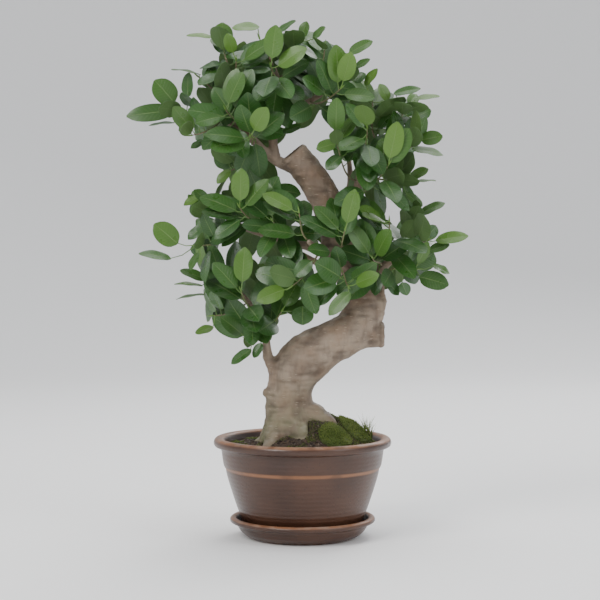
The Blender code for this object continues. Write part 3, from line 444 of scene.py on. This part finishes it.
def smooth_skin(mesh, weight, times):
    """Moves each point towards the middle of its neighbours, times its weight."""
    ends = np.empty(len(mesh.edges) * 2, int)
    mesh.edges.foreach_get("vertices", ends)
    a, b = ends.reshape(-1, 2).T
    count = np.bincount(ends, minlength=len(mesh.vertices))[:, None]
    points = points_of(mesh)
    for _ in range(times):
        total = np.zeros_like(points)
        np.add.at(total, a, points[b])
        np.add.at(total, b, points[a])
        points += (total / count - points) * weight[:, None] * 0.6
    set_points(mesh, points)


def thickness_of(mesh):
    """How far the wood reaches behind each point."""
    tree = BVHTree.FromPolygons([v.co for v in mesh.vertices], [p.vertices for p in mesh.polygons])
    depth = np.empty(len(mesh.vertices))
    for i, vert in enumerate(mesh.vertices):
        hit = tree.ray_cast(vert.co - vert.normal * 0.4 * MM, -vert.normal)
        depth[i] = hit[3] if hit[3] else 2 * MM
    return depth


SMOOTHING_ROUNDS = 26
THIN, THICK = 6 * MM, 28 * MM      # wood that keeps its shape, and wood that is smoothed fully
trunk_skin = remeshed("trunk", 1.3 * MM)
thickness = thickness_of(trunk_skin)
smooth_skin(trunk_skin, np.clip((thickness - THIN) / (THICK - THIN), 0.06, 1.0), SMOOTHING_ROUNDS)
print("trunk skin:", len(trunk_skin.vertices), "points, thickest", round(thickness.max() * 1000), "mm")


# %% Cut ends
def flat_cuts(solid, least_area, above):
    """The flat faces of a solid that are larger than its facets: their middle, direction and radius."""
    planes = {}
    bm = welded(solid)
    for face in bm.faces:
        middle = face.calc_center_median()
        key = (*(round(n, 2) for n in face.normal), round(face.normal.dot(middle), 3))
        planes.setdefault(key, []).append((face.calc_area(), middle, face.normal.copy()))
    cuts = []
    for group in planes.values():
        area = sum(a for a, _, _ in group)
        middle = sum((m * a for a, m, _ in group), Vector()) / area
        if area > least_area and middle.z > above:
            cuts.append((middle, group[0][2], math.sqrt(area / math.pi)))
    bm.free()
    return cuts


LEAST_CUT_AREA, LOWEST_CUT = 320 * MM * MM, 0.2
cut_ends = flat_cuts("trunk", LEAST_CUT_AREA, LOWEST_CUT)
print("cut ends:", [(tuple(round(c, 3) for c in m), round(r * 1000)) for m, _, r in cut_ends])

# %% Push the skin in and out
LUMP, RIDGE, WART = 1.5 * MM, 0.75 * MM, 0.35 * MM
BARK_EDGE = 0.84     # share of a cut's radius where the wood ends and the rolled bark begins
points = points_of(trunk_skin)
in_cut, ring_place, hollow = np.zeros((3, len(points)))
for i, vert in enumerate(trunk_skin.vertices):
    p, thick = vert.co, min(1.0, thickness[i] / (40 * MM))
    lump = noise.fractal(p * 38, 0.9, 2.1, 3)
    across = noise.noise(Vector((p.x * 55, p.y * 55, p.z * 240)))
    wart = max(0.0, noise.noise(p * 420) - 0.25)
    push = (LUMP * lump + RIDGE * across) * thick + WART * wart * min(1.0, thickness[i] / (12 * MM))
    # How far the skin is pushed in here; the bark material paints these hollows darker as painted shade
    hollow[i] = min(1.0, max(0.0, -0.9 * lump - 1.1 * across)) * thick
    for middle, direction, radius in cut_ends:
        off = p - middle
        away = (off - direction * off.dot(direction)).length
        if abs(off.dot(direction)) < 5 * MM and away < radius * 1.25:
            ring_place[i] = away / radius
            if away < radius * BARK_EDGE:
                in_cut[i] = min(1.0, (BARK_EDGE - away / radius) * 14)
                push = -1.1 * MM * in_cut[i] + 0.5 * MM * noise.noise(p * 260)
            else:
                push = 1.3 * MM * math.cos((away / radius - 0.98) * 4.0)
    points[i] += np.array(vert.normal) * push
set_points(trunk_skin, points)
trunk_skin.shade_smooth()
for name, values in (("cut_wood", in_cut), ("ring_place", ring_place), ("hollow", hollow)):
    trunk_skin.attributes.new(name, "FLOAT", "POINT").data.foreach_set("value", values)
print("points on cut wood:", int((in_cut > 0).sum()))

# %% [markdown]
# ## Bark
# Fig bark is thin, smooth and grey-brown, freckled with pale corky dashes called lenticels that lie
# across the stem, and greener near the damp soil. Stretching the coordinates before a Voronoi texture
# turns its round cells into dashes. Where the skin was pushed in, the bark is painted darker as painted shade
# in the hollows.
# The cuts are older wood: tan, with rings and a dark sealed heart.

# %% Bark material
bark, tree, shader = new_material("fig bark")
place = node(tree, "TexCoord").outputs["Object"]
height = node(tree, "SeparateXYZ", {"Vector": place}).outputs[2]
dashes = node(tree, "Mapping", {"Vector": place, "Scale": (0.6, 0.6, 2.6)}).outputs[0]
streaks = node(tree, "Mapping", {"Vector": place, "Scale": (1.0, 1.0, 0.28)}).outputs[0]
pale = effect(tree, patches, Vector=place, Scale=26.0, Coverage=0.48, Softness=0.16)
dark = effect(tree, patches, Vector=streaks, Scale=95.0, Coverage=0.42, Softness=0.14)
warm = effect(tree, patches, Vector=place, Scale=60.0, Coverage=0.40, Softness=0.2)
corky = effect(tree, specks, Vector=dashes, Scale=210.0, Size=0.32, Share=0.30)
lime = effect(tree, dust, Vector=place, Scale=90.0, Amount=0.30)
skin = mix_colour(tree, pale, (0.165, 0.115, 0.078), (0.305, 0.243, 0.182))
skin = mix_colour(tree, math_node(tree, "MULTIPLY", dark, 0.55), skin, (0.078, 0.055, 0.040))
skin = mix_colour(tree, math_node(tree, "MULTIPLY", warm, 0.45), skin, (0.235, 0.140, 0.080))
skin = mix_colour(tree, math_node(tree, "MULTIPLY", corky, 0.5), skin, (0.400, 0.320, 0.235))
# Painted shade: the bark is darker where the skin was pushed in, read from the hollow attribute
hollow_shade = node(tree, "Attribute", attribute_name="hollow").outputs["Fac"]
skin = mix_colour(tree, math_node(tree, "MULTIPLY", hollow_shade, 0.7), skin, (0.070, 0.048, 0.034))
damp = math_node(tree, "MULTIPLY", map_range(tree, height, 0.200, 0.125), pale)
skin = mix_colour(tree, math_node(tree, "MULTIPLY", damp, 0.55), skin, (0.075, 0.105, 0.030))
skin = mix_colour(tree, lime, skin, (0.460, 0.430, 0.380))
heart = node(tree, "Attribute", attribute_name="cut_wood").outputs["Fac"]
ring = node(tree, "Attribute", attribute_name="ring_place").outputs["Fac"]
ring_wave = math_node(tree, "SINE", math_node(tree, "ADD", math_node(tree, "MULTIPLY", ring, 52.0),
                                              math_node(tree, "MULTIPLY", warm, 5.0)))
wood = mix_colour(tree, map_range(tree, ring_wave, -1.0, 1.0), (0.270, 0.170, 0.095), (0.420, 0.300, 0.185))
wood = mix_colour(tree, map_range(tree, ring, 0.45, 0.0), wood, (0.110, 0.070, 0.045))
tree.links.new(mix_colour(tree, heart, skin, wood), shader.inputs["Base Color"])
rough = map_range(tree, pale, 0.0, 1.0, 0.62, 0.80)
tree.links.new(rough, shader.inputs["Roughness"])
grit = effect(tree, grain, Vector=streaks, Coarse_scale=260.0, Fine_scale=1100.0, Fine_share=0.5)
relief = math_node(tree, "ADD", grit, math_node(tree, "MULTIPLY", corky, 0.5))
relief = math_node(tree, "SUBTRACT", relief, math_node(tree, "MULTIPLY", dark, 0.6))
bump(tree, shader, relief, 0.0009, 0.85)
add_piece("trunk_skin", trunk_skin, bark, ["trunk"])
print("bark nodes:", len(tree.nodes))

# %% [markdown]
# ## Leaves
# Each solid shoot is a twig with flat six-sided leaves. We find a leaf in it by its tip, the only point
# whose three neighbours form a wide triangle, and walk back over the sections to its foot on the twig.
# That gives the place, width and facing of every leaf, so a finer leaf can stand exactly there: an oval
# blade with a sunken midrib, a soft arch and a wavy edge, 0.35 mm thick, on a thin stalk.


# %% Read the leaves from the shoots
def leaf_from_tip(tip):
    """The foot, blade start, tip, facing and width of the leaf that ends at this point, or None."""
    ring = {e.other_vert(tip) for e in tip.link_edges}
    if len(ring) != 3:
        return None
    left, right = max(combinations(ring, 2), key=lambda pair: (pair[0].co - pair[1].co).length)
    width = (left.co - right.co).length
    (keel,) = ring - {left, right}
    middle = (left.co + right.co) / 2
    if width < 6 * MM or (keel.co - middle).length > width / 2 or (tip.co - middle).length < 4 * MM:
        return None
    seen, rings = {tip} | ring, []
    for _ in range(3):
        ring = {e.other_vert(v) for v in ring for e in v.link_edges} - seen
        seen |= ring
        rings.append(ring)
    start = sum((v.co for v in rings[1]), Vector()) / len(rings[1])
    foot = sum((v.co for v in rings[2]), Vector()) / len(rings[2])
    facing = (middle - keel.co).normalized()
    return (foot, start, tip.co.copy(), facing, width / 0.94), seen - rings[2]


def read_shoot(name):
    """The leaves of a shoot, and its bare twig as a bmesh."""
    bm = welded(name)
    found = [leaf for leaf in map(leaf_from_tip, bm.verts) if leaf]
    used = set().union(*(verts for _, verts in found))
    bmesh.ops.delete(bm, geom=list(used), context="VERTS")
    bmesh.ops.holes_fill(bm, edges=bm.edges[:], sides=0)
    return [leaf for leaf, _ in found], bm


shoot_names = sorted(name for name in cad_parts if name.startswith("shoot_"))
shoots = {name: read_shoot(name) for name in shoot_names}
print("shoots:", len(shoots), "leaves:", sum(len(leaves) for leaves, _ in shoots.values()))

# %% Shape of one leaf
ALONG, ACROSS = 10, 6
BLADE_THICKNESS = 0.35 * MM
STALK_RADIUS = 0.55 * MM


def half_width(t):
    """Half the blade's width, as a share of its widest, from its start to its tip."""
    u = t**0.92
    return max(0.03, (1 - abs(2 * u - 1) ** 2.3)) ** 0.62 * (1 - 0.10 * max(0.0, t - 0.85) / 0.15)


def blade(leaf, rng):
    """Points, faces and places of a closed thin blade. A place is (along, across, underside)."""
    _, start, tip, facing, width = leaf
    axis = tip - start
    length = axis.length
    ahead = axis.normalized()
    side = ahead.cross(facing).normalized()
    facing = side.cross(ahead).normalized()
    wave, phase = rng.uniform(0.2, 0.6) * MM, rng.uniform(0, math.tau)
    points, places = [], []
    for under in (0.0, 1.0):
        for i in range(ALONG + 1):
            t = i / ALONG
            for j in range(ACROSS + 1):
                v = 2 * j / ACROSS - 1
                rise = 0.057 * 4 * t * (1 - t) * length
                rise -= 0.9 * MM * (1 - abs(v)) ** 1.6 * math.sin(math.pi * min(1.0, t + 0.08))
                rise += wave * v * v * math.sin(phase + t * 11 + (2.0 if v > 0 else 0.0))
                rise -= under * BLADE_THICKNESS
                points.append(start + axis * t + side * v * half_width(t) * width / 2 + facing * rise)
                places.append((t, v, under))
    wide, faces = ACROSS + 1, []
    low = (ALONG + 1) * wide
    for i in range(ALONG):
        for j in range(ACROSS):
            a = i * wide + j
            faces.append((a, a + 1, a + wide + 1, a + wide))
            faces.append((low + a, low + a + wide, low + a + wide + 1, low + a + 1))
    rim = [j for j in range(wide)] + [i * wide + ACROSS for i in range(1, ALONG + 1)]
    rim += [ALONG * wide + j for j in range(ACROSS - 1, -1, -1)] + [i * wide for i in range(ALONG - 1, 0, -1)]
    for a, b in zip(rim, rim[1:] + rim[:1]):
        faces.append((b, a, low + a, low + b))
    return points, faces, places


def tube(path, radii, sides=6):
    """Points and faces of a closed tube along a path."""
    points, faces = [], []
    ahead = (path[-1] - path[0]).normalized()
    side = ahead.orthogonal().normalized()
    up = ahead.cross(side)
    for spot, radius in zip(path, radii):
        for k in range(sides):
            turn = math.tau * k / sides
            points.append(spot + (side * math.cos(turn) + up * math.sin(turn)) * radius)
    for ring in range(len(path) - 1):
        for k in range(sides):
            a, b = ring * sides + k, ring * sides + (k + 1) % sides
            faces.append((a, b, b + sides, a + sides))
    faces += [tuple(reversed(range(sides))), tuple(range(len(points) - sides, len(points)))]
    return points, faces


def stalk(leaf):
    """The leaf's stalk, from inside the twig to just under the blade's start."""
    foot, start, tip, facing, _ = leaf
    end = start + (tip - start) * 0.06 - facing * (BLADE_THICKNESS + 0.3 * MM)
    sag = (start - foot).length * 0.10
    middle = foot.lerp(end, 0.5) - UP * sag
    return tube([foot, middle, end], [STALK_RADIUS * 1.3, STALK_RADIUS, STALK_RADIUS * 0.9])


print("blade faces:", len(blade((Vector(), Vector(), Vector((0.04, 0, 0)), UP, 0.02), random.Random(1))[1]))

# %% [markdown]
# ## Leaf material
# A fig leaf is glossy and deep green above, and duller and paler below. Its midrib and side veins are
# pale, and the youngest leaves at a shoot's tip are yellow-green. Every point of a blade carries its
# place on the leaf, so veins can be drawn as simple sums: a side vein is where a slanted comb of
# lines, along minus across, crosses a whole number. A little light passes through the blade.

# %% Build the leaf material
leaf_skin, tree, shader = new_material("fig leaf")
place = node(tree, "TexCoord").outputs["Object"]
leaf_place = node(tree, "Attribute", attribute_name="leaf_place").outputs["Vector"]
leaf_life = node(tree, "Attribute", attribute_name="leaf_life").outputs["Vector"]
spot = node(tree, "SeparateXYZ", {"Vector": leaf_place})
life = node(tree, "SeparateXYZ", {"Vector": leaf_life})
along, across, under = spot.outputs[0], math_node(tree, "ABSOLUTE", spot.outputs[1]), spot.outputs[2]
youth, chance = life.outputs[0], life.outputs[1]
rib_edge = math_node(tree, "SUBTRACT", 0.085, math_node(tree, "MULTIPLY", along, 0.05))
midrib = map_range(tree, across, rib_edge, math_node(tree, "MULTIPLY", rib_edge, 0.35))
bend = math_node(tree, "MULTIPLY", math_node(tree, "POWER", across, 0.8), 1.9)
slant = math_node(tree, "SUBTRACT", math_node(tree, "MULTIPLY", along, 10.0), bend)
comb = math_node(tree, "PINGPONG", slant, 0.5)
veins = map_range(tree, comb, 0.09, 0.0)
veins = math_node(tree, "MULTIPLY", veins, map_range(tree, across, 0.98, 0.70))
pattern = math_node(tree, "MAXIMUM", midrib, math_node(tree, "MULTIPLY", veins, 0.45))
tone = effect(tree, patches, Vector=place, Scale=45.0, Coverage=0.5, Softness=0.3)
marks = effect(tree, specks, Vector=place, Scale=500.0, Size=0.2, Share=0.08)
lime = effect(tree, dust, Vector=place, Scale=120.0, Amount=0.14)
green = mix_colour(tree, chance, (0.018, 0.072, 0.012), (0.040, 0.120, 0.020))
green = mix_colour(tree, math_node(tree, "MULTIPLY", tone, 0.5), green, (0.028, 0.090, 0.014))
green = mix_colour(tree, youth, green, (0.150, 0.290, 0.035))
green = mix_colour(tree, math_node(tree, "MULTIPLY", pattern, 0.55), green, (0.170, 0.270, 0.075))
green = mix_colour(tree, math_node(tree, "MULTIPLY", under, 0.62), green, (0.120, 0.205, 0.065))
green = mix_colour(tree, math_node(tree, "MULTIPLY", marks, 0.5), green, (0.110, 0.085, 0.030))
green = mix_colour(tree, lime, green, (0.300, 0.330, 0.250))
tree.links.new(green, shader.inputs["Base Color"])
rough = map_range(tree, tone, 0.0, 1.0, 0.26, 0.38)
rough = math_node(tree, "ADD", rough, math_node(tree, "MULTIPLY", under, 0.25))
rough = math_node(tree, "ADD", rough, math_node(tree, "MULTIPLY", lime, 0.8))
tree.links.new(rough, shader.inputs["Roughness"])
grit = effect(tree, grain, Vector=place, Coarse_scale=300.0, Fine_scale=1500.0, Fine_share=0.4)
relief = math_node(tree, "SUBTRACT", math_node(tree, "MULTIPLY", grit, 0.35), pattern)
bump(tree, shader, relief, 0.00035, 0.6)
through = node(tree, "BsdfTranslucent", {"Color": mix_colour(tree, 0.7, green, (0.22, 0.42, 0.03))})
both = node(tree, "MixShader", {0: 0.16, 1: shader.outputs[0], 2: through.outputs[0]})
tree.links.new(both.outputs[0], tree.nodes["Material Output"].inputs["Surface"])
print("leaf nodes:", len(tree.nodes))

# %% Twig material
twig_skin, tree, shader = new_material("twig bark")
place = node(tree, "TexCoord").outputs["Object"]
pale = effect(tree, patches, Vector=place, Scale=70.0, Coverage=0.5, Softness=0.2)
corky = effect(tree, specks, Vector=place, Scale=520.0, Size=0.34, Share=0.4)
rind = mix_colour(tree, pale, (0.135, 0.095, 0.055), (0.130, 0.140, 0.055))
rind = mix_colour(tree, math_node(tree, "MULTIPLY", corky, 0.6), rind, (0.360, 0.300, 0.220))
tree.links.new(rind, shader.inputs["Base Color"])
tree.links.new(map_range(tree, pale, 0.0, 1.0, 0.55, 0.75), shader.inputs["Roughness"])
grit = effect(tree, grain, Vector=place, Coarse_scale=400.0, Fine_scale=1300.0, Fine_share=0.5)
bump(tree, shader, grit, 0.0004)
print("twig nodes:", len(tree.nodes))

# %% [markdown]
# ## Shoots
# A shoot becomes one mesh: the twig, rounded by a Subdivision modifier, the stalks and the blades. The
# twig ends in the pointed green sheath that wraps a fig's next leaf. Leaves near that end are younger,
# so a few of them are drawn yellow-green. One mesh per shoot keeps the number of pieces small.


# %% Twigs and their buds
def rounded_twig(bm):
    """Points and faces of a bare twig after subdivision."""
    mesh = bpy.data.meshes.new("twig")
    bm.to_mesh(mesh)
    helper = bpy.data.objects.new("twig", mesh)
    scene.collection.objects.link(helper)
    helper.modifiers.new("round", "SUBSURF").levels = 2
    fine = bpy.data.meshes.new_from_object(helper.evaluated_get(bpy.context.evaluated_depsgraph_get()))
    bpy.data.objects.remove(helper)
    return [v.co.copy() for v in fine.vertices], [tuple(p.vertices) for p in fine.polygons]


def twig_end(bm):
    """The middle of the twig's thin end and the direction it points in."""
    shortest = sorted(bm.verts, key=lambda v: sum(sorted(e.calc_length() for e in v.link_edges)[:2]))[:4]
    behind = {e.other_vert(v) for v in shortest for e in v.link_edges} - set(shortest)
    end = sum((v.co for v in shortest), Vector()) / 4
    root = sum((v.co for v in behind), Vector()) / len(behind)
    return end, (end - root).normalized()


def bud(bm):
    end, ahead = twig_end(bm)
    path = [end + ahead * (step * MM) for step in (-1.0, 0.6, 3.0, 6.0, 8.5)]
    return tube(path, [r * MM for r in (0.7, 1.05, 0.95, 0.5, 0.08)]), end


def shoot_mesh(name, leaves, bm):
    """One mesh of the twig, its bud, the stalks and the blades."""
    rng = random.Random(name)
    points, faces, kinds, places, lives = [], [], [], [], []

    def take(part, kind, part_places, life):
        first = len(points)
        points.extend(part[0])
        faces.extend(tuple(first + i for i in face) for face in part[1])
        kinds.extend([kind] * len(part[1]))
        places.extend(part_places or [(0.0, 0.5, 0.6)] * len(part[0]))
        lives.extend([life] * len(part[0]))

    take(rounded_twig(bm), 1, None, (0.0, 0.5, 0.0))
    bud_part, end = bud(bm)
    take(bud_part, 0, None, (0.85, 0.5, 0.0))
    reach = max((leaf[0] - end).length for leaf in leaves)
    for leaf in leaves:
        near_end = 1 - (leaf[0] - end).length / max(reach, MM)
        youth = max(0.0, near_end - 0.72) * 2.2 * rng.random()
        life = (youth, rng.random(), 0.0)
        blade_points, blade_faces, blade_places = blade(leaf, rng)
        take((blade_points, blade_faces), 0, blade_places, life)
        take(stalk(leaf), 0, None, (min(1.0, youth + 0.35), rng.random(), 0.0))
    mesh = bpy.data.meshes.new(name)
    mesh.from_pydata(points, [], faces)
    mesh.materials.append(leaf_skin)
    mesh.materials.append(twig_skin)
    mesh.polygons.foreach_set("material_index", kinds)
    for attribute, rows in (("leaf_place", places), ("leaf_life", lives)):
        data = mesh.attributes.new(attribute, "FLOAT_VECTOR", "POINT").data
        data.foreach_set("vector", np.array(rows).ravel())
    mesh.shade_smooth()
    mesh.set_sharp_from_angle(angle=math.radians(50))
    return mesh


for name, (leaves, bm) in shoots.items():
    piece_name = name.replace("shoot", "leafy_twig")
    add_piece(piece_name, shoot_mesh(piece_name, leaves, bm), leaf_skin, [name])
    bm.free()
print("leafy twigs:", len(shoots))

# %% [markdown]
# ## Soil
# Bonsai soil is a loose mix: dark compost, bits of bark and paler grit. The mound is remeshed and
# roughened, and then strewn with hundreds of small crumbs, each a squashed ball dropped straight down
# on to the mound. Seen close, it is these crumbs that make soil look like soil.

# %% Soil material
soil_mix, tree, shader = new_material("soil mix")
place = node(tree, "TexCoord").outputs["Object"]
bits = node(tree, "TexVoronoi", {"Vector": place, "Scale": 420.0})
tint = node(tree, "SeparateColor", {"Color": bits.outputs["Color"]}).outputs[0]
damp = effect(tree, patches, Vector=place, Scale=40.0, Coverage=0.5, Softness=0.25)
grit_spots = effect(tree, specks, Vector=place, Scale=330.0, Size=0.4, Share=0.12)
earth = mix_colour(tree, tint, (0.022, 0.014, 0.009), (0.085, 0.054, 0.033))
earth = mix_colour(tree, math_node(tree, "MULTIPLY", damp, 0.5), earth, (0.016, 0.010, 0.007))
earth = mix_colour(tree, math_node(tree, "MULTIPLY", grit_spots, 0.6), earth, (0.230, 0.190, 0.150))
tree.links.new(earth, shader.inputs["Base Color"])
tree.links.new(map_range(tree, damp, 0.0, 1.0, 0.95, 0.72), shader.inputs["Roughness"])
grit = effect(tree, grain, Vector=place, Coarse_scale=200.0)
lumps = math_node(tree, "ADD", bits.outputs["Distance"], grit)
bump(tree, shader, lumps, 0.0012)
print("soil nodes:", len(tree.nodes))

# %% Soil surface
soil_skin = remeshed("soil", 1.8 * MM)
points = points_of(soil_skin)
soil_edge = 0.088
for i, vert in enumerate(soil_skin.vertices):
    p = vert.co
    if vert.normal.z > 0.3 and p.z > 0.100:
        inside = min(1.0, max(0.0, (soil_edge - math.hypot(p.x, p.y)) / 0.006))
        clods = noise.fractal(p * 160, 1.0, 2.0, 3) + 0.4 * noise.noise(p * 520)
        points[i][2] += inside * clods * MM
set_points(soil_skin, points)
soil_skin.shade_smooth()
add_piece("soil_bed", soil_skin, soil_mix, ["soil"])


def search_tree(mesh):
    return BVHTree.FromPolygons([v.co for v in mesh.vertices], [tuple(p.vertices) for p in mesh.polygons])


soil_tree, wood_tree = search_tree(soil_skin), search_tree(trunk_skin)


def drop(x, y):
    """Where something falling at (x, y) lands on open soil, and the slope there, or None under wood."""
    hit, normal, _, _ = soil_tree.ray_cast(Vector((x, y, 0.25)), -UP)
    if hit is None or wood_tree.ray_cast(hit + UP * MM, UP, 0.03)[0] or math.hypot(x, y) > soil_edge:
        return None
    return hit, normal


print("soil surface:", len(soil_skin.vertices), "points")

# %% Crumbs
CRUMBS = 1500
rng = random.Random(11)
bm = bmesh.new()
for _ in range(CRUMBS):
    reach, turn = soil_edge * math.sqrt(rng.random()), rng.uniform(0, math.tau)
    landed = drop(reach * math.cos(turn), reach * math.sin(turn))
    if landed is None:
        continue
    size = rng.uniform(0.5, 1.0) ** 2 * 1.9 * MM
    stretch = Matrix.Diagonal((size * rng.uniform(0.8, 1.5), size, size * rng.uniform(0.5, 0.8), 1))
    spin = Matrix.Rotation(rng.uniform(0, math.tau), 4, "Z") @ Matrix.Rotation(rng.uniform(-0.5, 0.5), 4, "X")
    seat = Matrix.Translation(landed[0] + UP * size * 0.25)
    ball = bmesh.ops.create_icosphere(bm, subdivisions=1, radius=1.0, matrix=seat @ spin @ stretch)
    for vert in ball["verts"]:
        vert.co += Vector([rng.uniform(-0.16, 0.16) * size for _ in range(3)])
crumbs = bpy.data.meshes.new("soil_crumbs")
bm.to_mesh(crumbs)
bm.free()
add_piece("soil_crumbs", crumbs, soil_mix)
print("crumb faces:", len(crumbs.polygons))

# %% [markdown]
# ## Moss
# Moss is a carpet of upright stems a few millimetres high. A cushion is the solid's own dome, made
# finer and lumpy, and planted with thousands of thin blades that lean a little outward. Each blade
# knows how far up a point of it is, and the material fades from dark at the root to fresh at the tip.

# %% Moss material
moss_green, tree, shader = new_material("moss")
place = node(tree, "TexCoord").outputs["Object"]
blade_life = node(tree, "Attribute", attribute_name="blade_life").outputs["Vector"]
life = node(tree, "SeparateXYZ", {"Vector": blade_life})
tone = effect(tree, patches, Vector=place, Scale=55.0, Coverage=0.5, Softness=0.25)
fresh = mix_colour(tree, life.outputs[1], (0.120, 0.185, 0.022), (0.215, 0.260, 0.040))
fresh = mix_colour(tree, math_node(tree, "MULTIPLY", tone, 0.6), fresh, (0.075, 0.130, 0.018))
tree.links.new(mix_colour(tree, life.outputs[0], (0.022, 0.032, 0.008), fresh), shader.inputs["Base Color"])
tree.links.new(map_range(tree, tone, 0.0, 1.0, 0.75, 0.92), shader.inputs["Roughness"])
bump(tree, shader, effect(tree, grain, Vector=place, Coarse_scale=500.0), 0.0006)
print("moss nodes:", len(tree.nodes))


# %% Plant moss blades
def add_blade(part, foot, lean, height, width, chance, rng):
    """A thin three-sided blade that narrows to its tip."""
    points, faces, lives = part
    first = len(points)
    turn = rng.uniform(0, math.tau)
    middle = foot + (UP * 0.55 + lean * 0.35) * height
    for spot, breadth in ((foot, width), (middle, width * 0.8)):
        for k in range(3):
            angle = turn + math.tau * k / 3
            points.append(spot + Vector((math.cos(angle), math.sin(angle), 0.0)) * breadth)
    points.append(foot + (UP + lean) * height)
    for k in range(3):
        a, b = first + k, first + (k + 1) % 3
        faces += [(a, b, b + 3, a + 3), (a + 3, b + 3, first + 6)]
    faces.append((first + 2, first + 1, first))
    lives += [(0.1, chance, 0)] * 3 + [(0.65, chance, 0)] * 3 + [(1.0, chance, 0)]


def blades_mesh(name, part):
    points, faces, lives = part
    mesh = bpy.data.meshes.new(name)
    mesh.from_pydata(points, [], faces)
    data = mesh.attributes.new("blade_life", "FLOAT_VECTOR", "POINT").data
    data.foreach_set("vector", np.array(lives).ravel())
    mesh.shade_smooth()
    return mesh


def moss_cushion(solid, blades):
    """The solid's dome, made lumpy, with blades all over its upper side."""
    dome = remeshed(solid, 1.0 * MM)
    low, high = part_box(solid)
    rng = random.Random(solid)
    part = ([], [], [])
    for vert in dome.vertices:
        lump = noise.fractal(vert.co * 130, 1.0, 2.0, 3) * (1.1 * MM if vert.normal.z > 0 else 0.0)
        part[0].append(vert.co + vert.normal * lump - (UP * 2.0 * MM if vert.normal.z < 0.1 else Vector()))
        part[2].append((0.25, rng.random(), 0.0))
    part[1].extend(tuple(p.vertices) for p in dome.polygons)
    ground = search_tree(dome)
    middle = (low + high) / 2
    for _ in range(blades):
        x, y = rng.uniform(low.x, high.x), rng.uniform(low.y, high.y)
        hit, normal, _, _ = ground.ray_cast(Vector((x, y, high.z + 0.01)), -UP)
        if hit is None:
            continue
        outward = Vector((x - middle.x, y - middle.y, 0.0)) * 12
        lean = outward + Vector((rng.uniform(-1, 1), rng.uniform(-1, 1), 0)) * 0.35
        add_blade(part, hit - UP * 0.4 * MM, lean, rng.uniform(1.6, 3.2) * MM, 0.28 * MM, rng.random(), rng)
    return blades_mesh(solid + "_blades", part)


for number, blades in ((1, 3000), (2, 2600), (3, 1800)):
    solid = f"moss_cushion_{number}"
    mesh = moss_cushion(solid, blades)
    add_piece(f"mossy_mound_{number}", mesh, moss_green, [solid])
    print(solid, "faces:", len(mesh.polygons))

# %% Loose moss and a tuft at the rim
cushion_boxes = [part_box(f"moss_cushion_{number}") for number in (1, 2, 3)]


def beside_cushion(x, y):
    """From 0, far from every cushion, to 1 beside one, where loose moss grows thick."""
    nearest = math.inf
    for low, high in cushion_boxes:
        across = (x - (low.x + high.x) / 2) / (high.x - low.x)
        along = (y - (low.y + high.y) / 2) / (high.y - low.y)
        nearest = min(nearest, 2 * math.hypot(across, along))
    return max(0.0, min(1.0, (1.9 - nearest) / 0.6))


rng = random.Random(23)
part = ([], [], [])
TUFT, TUFT_BLADES, LOOSE_TRIES = (0.076, -0.004), 70, 12000
for _ in range(TUFT_BLADES):
    landed = drop(TUFT[0] + rng.gauss(0, 2.4 * MM), TUFT[1] + rng.gauss(0, 2.5 * MM))
    if landed:
        lean = Vector((rng.gauss(-0.05, 0.45), rng.gauss(0, 0.45), 0.0))
        add_blade(part, landed[0], lean, rng.uniform(14, 30) * MM, 0.42 * MM, rng.random(), rng)
for _ in range(LOOSE_TRIES):
    reach, turn = soil_edge * math.sqrt(rng.random()), rng.uniform(0, math.tau)
    x, y = reach * math.cos(turn), reach * math.sin(turn)
    if noise.noise(Vector((x * 42, y * 42, 3.0))) < 0.12 - 0.45 * beside_cushion(x, y):
        continue
    landed = drop(x, y)
    if landed:
        lean = Vector((rng.gauss(0, 0.35), rng.gauss(0, 0.35), 0.0))
        add_blade(part, landed[0], lean, rng.uniform(1.2, 2.6) * MM, 0.26 * MM, rng.random(), rng)
add_piece("loose_moss", blades_mesh("loose_moss", part), moss_green)
print("loose moss faces:", len(part[1]))

# %% [markdown]
# ## Drain mesh
# The square of plastic mesh over the drain hole keeps the solid's own shape. It only needs a moulded
# look: black plastic, a little scuffed, with soil dust on the faces that look up.

# %% Drain mesh material
plastic, tree, shader = new_material("mesh plastic")
place = node(tree, "TexCoord").outputs["Object"]
scuffs = effect(tree, patches, Vector=place, Scale=160.0, Coverage=0.45, Softness=0.2)
lime = effect(tree, dust, Vector=place, Scale=200.0, Amount=0.5)
black = mix_colour(tree, scuffs, (0.012, 0.012, 0.013), (0.035, 0.034, 0.033))
tree.links.new(mix_colour(tree, lime, black, (0.090, 0.065, 0.045)), shader.inputs["Base Color"])
tree.links.new(map_range(tree, scuffs, 0.0, 1.0, 0.42, 0.62), shader.inputs["Roughness"])
bump(tree, shader, effect(tree, grain, Vector=place, Coarse_scale=700.0), 0.0002)
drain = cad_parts["drain_mesh"]
drain.data.materials.clear()
drain.data.materials.append(plastic)
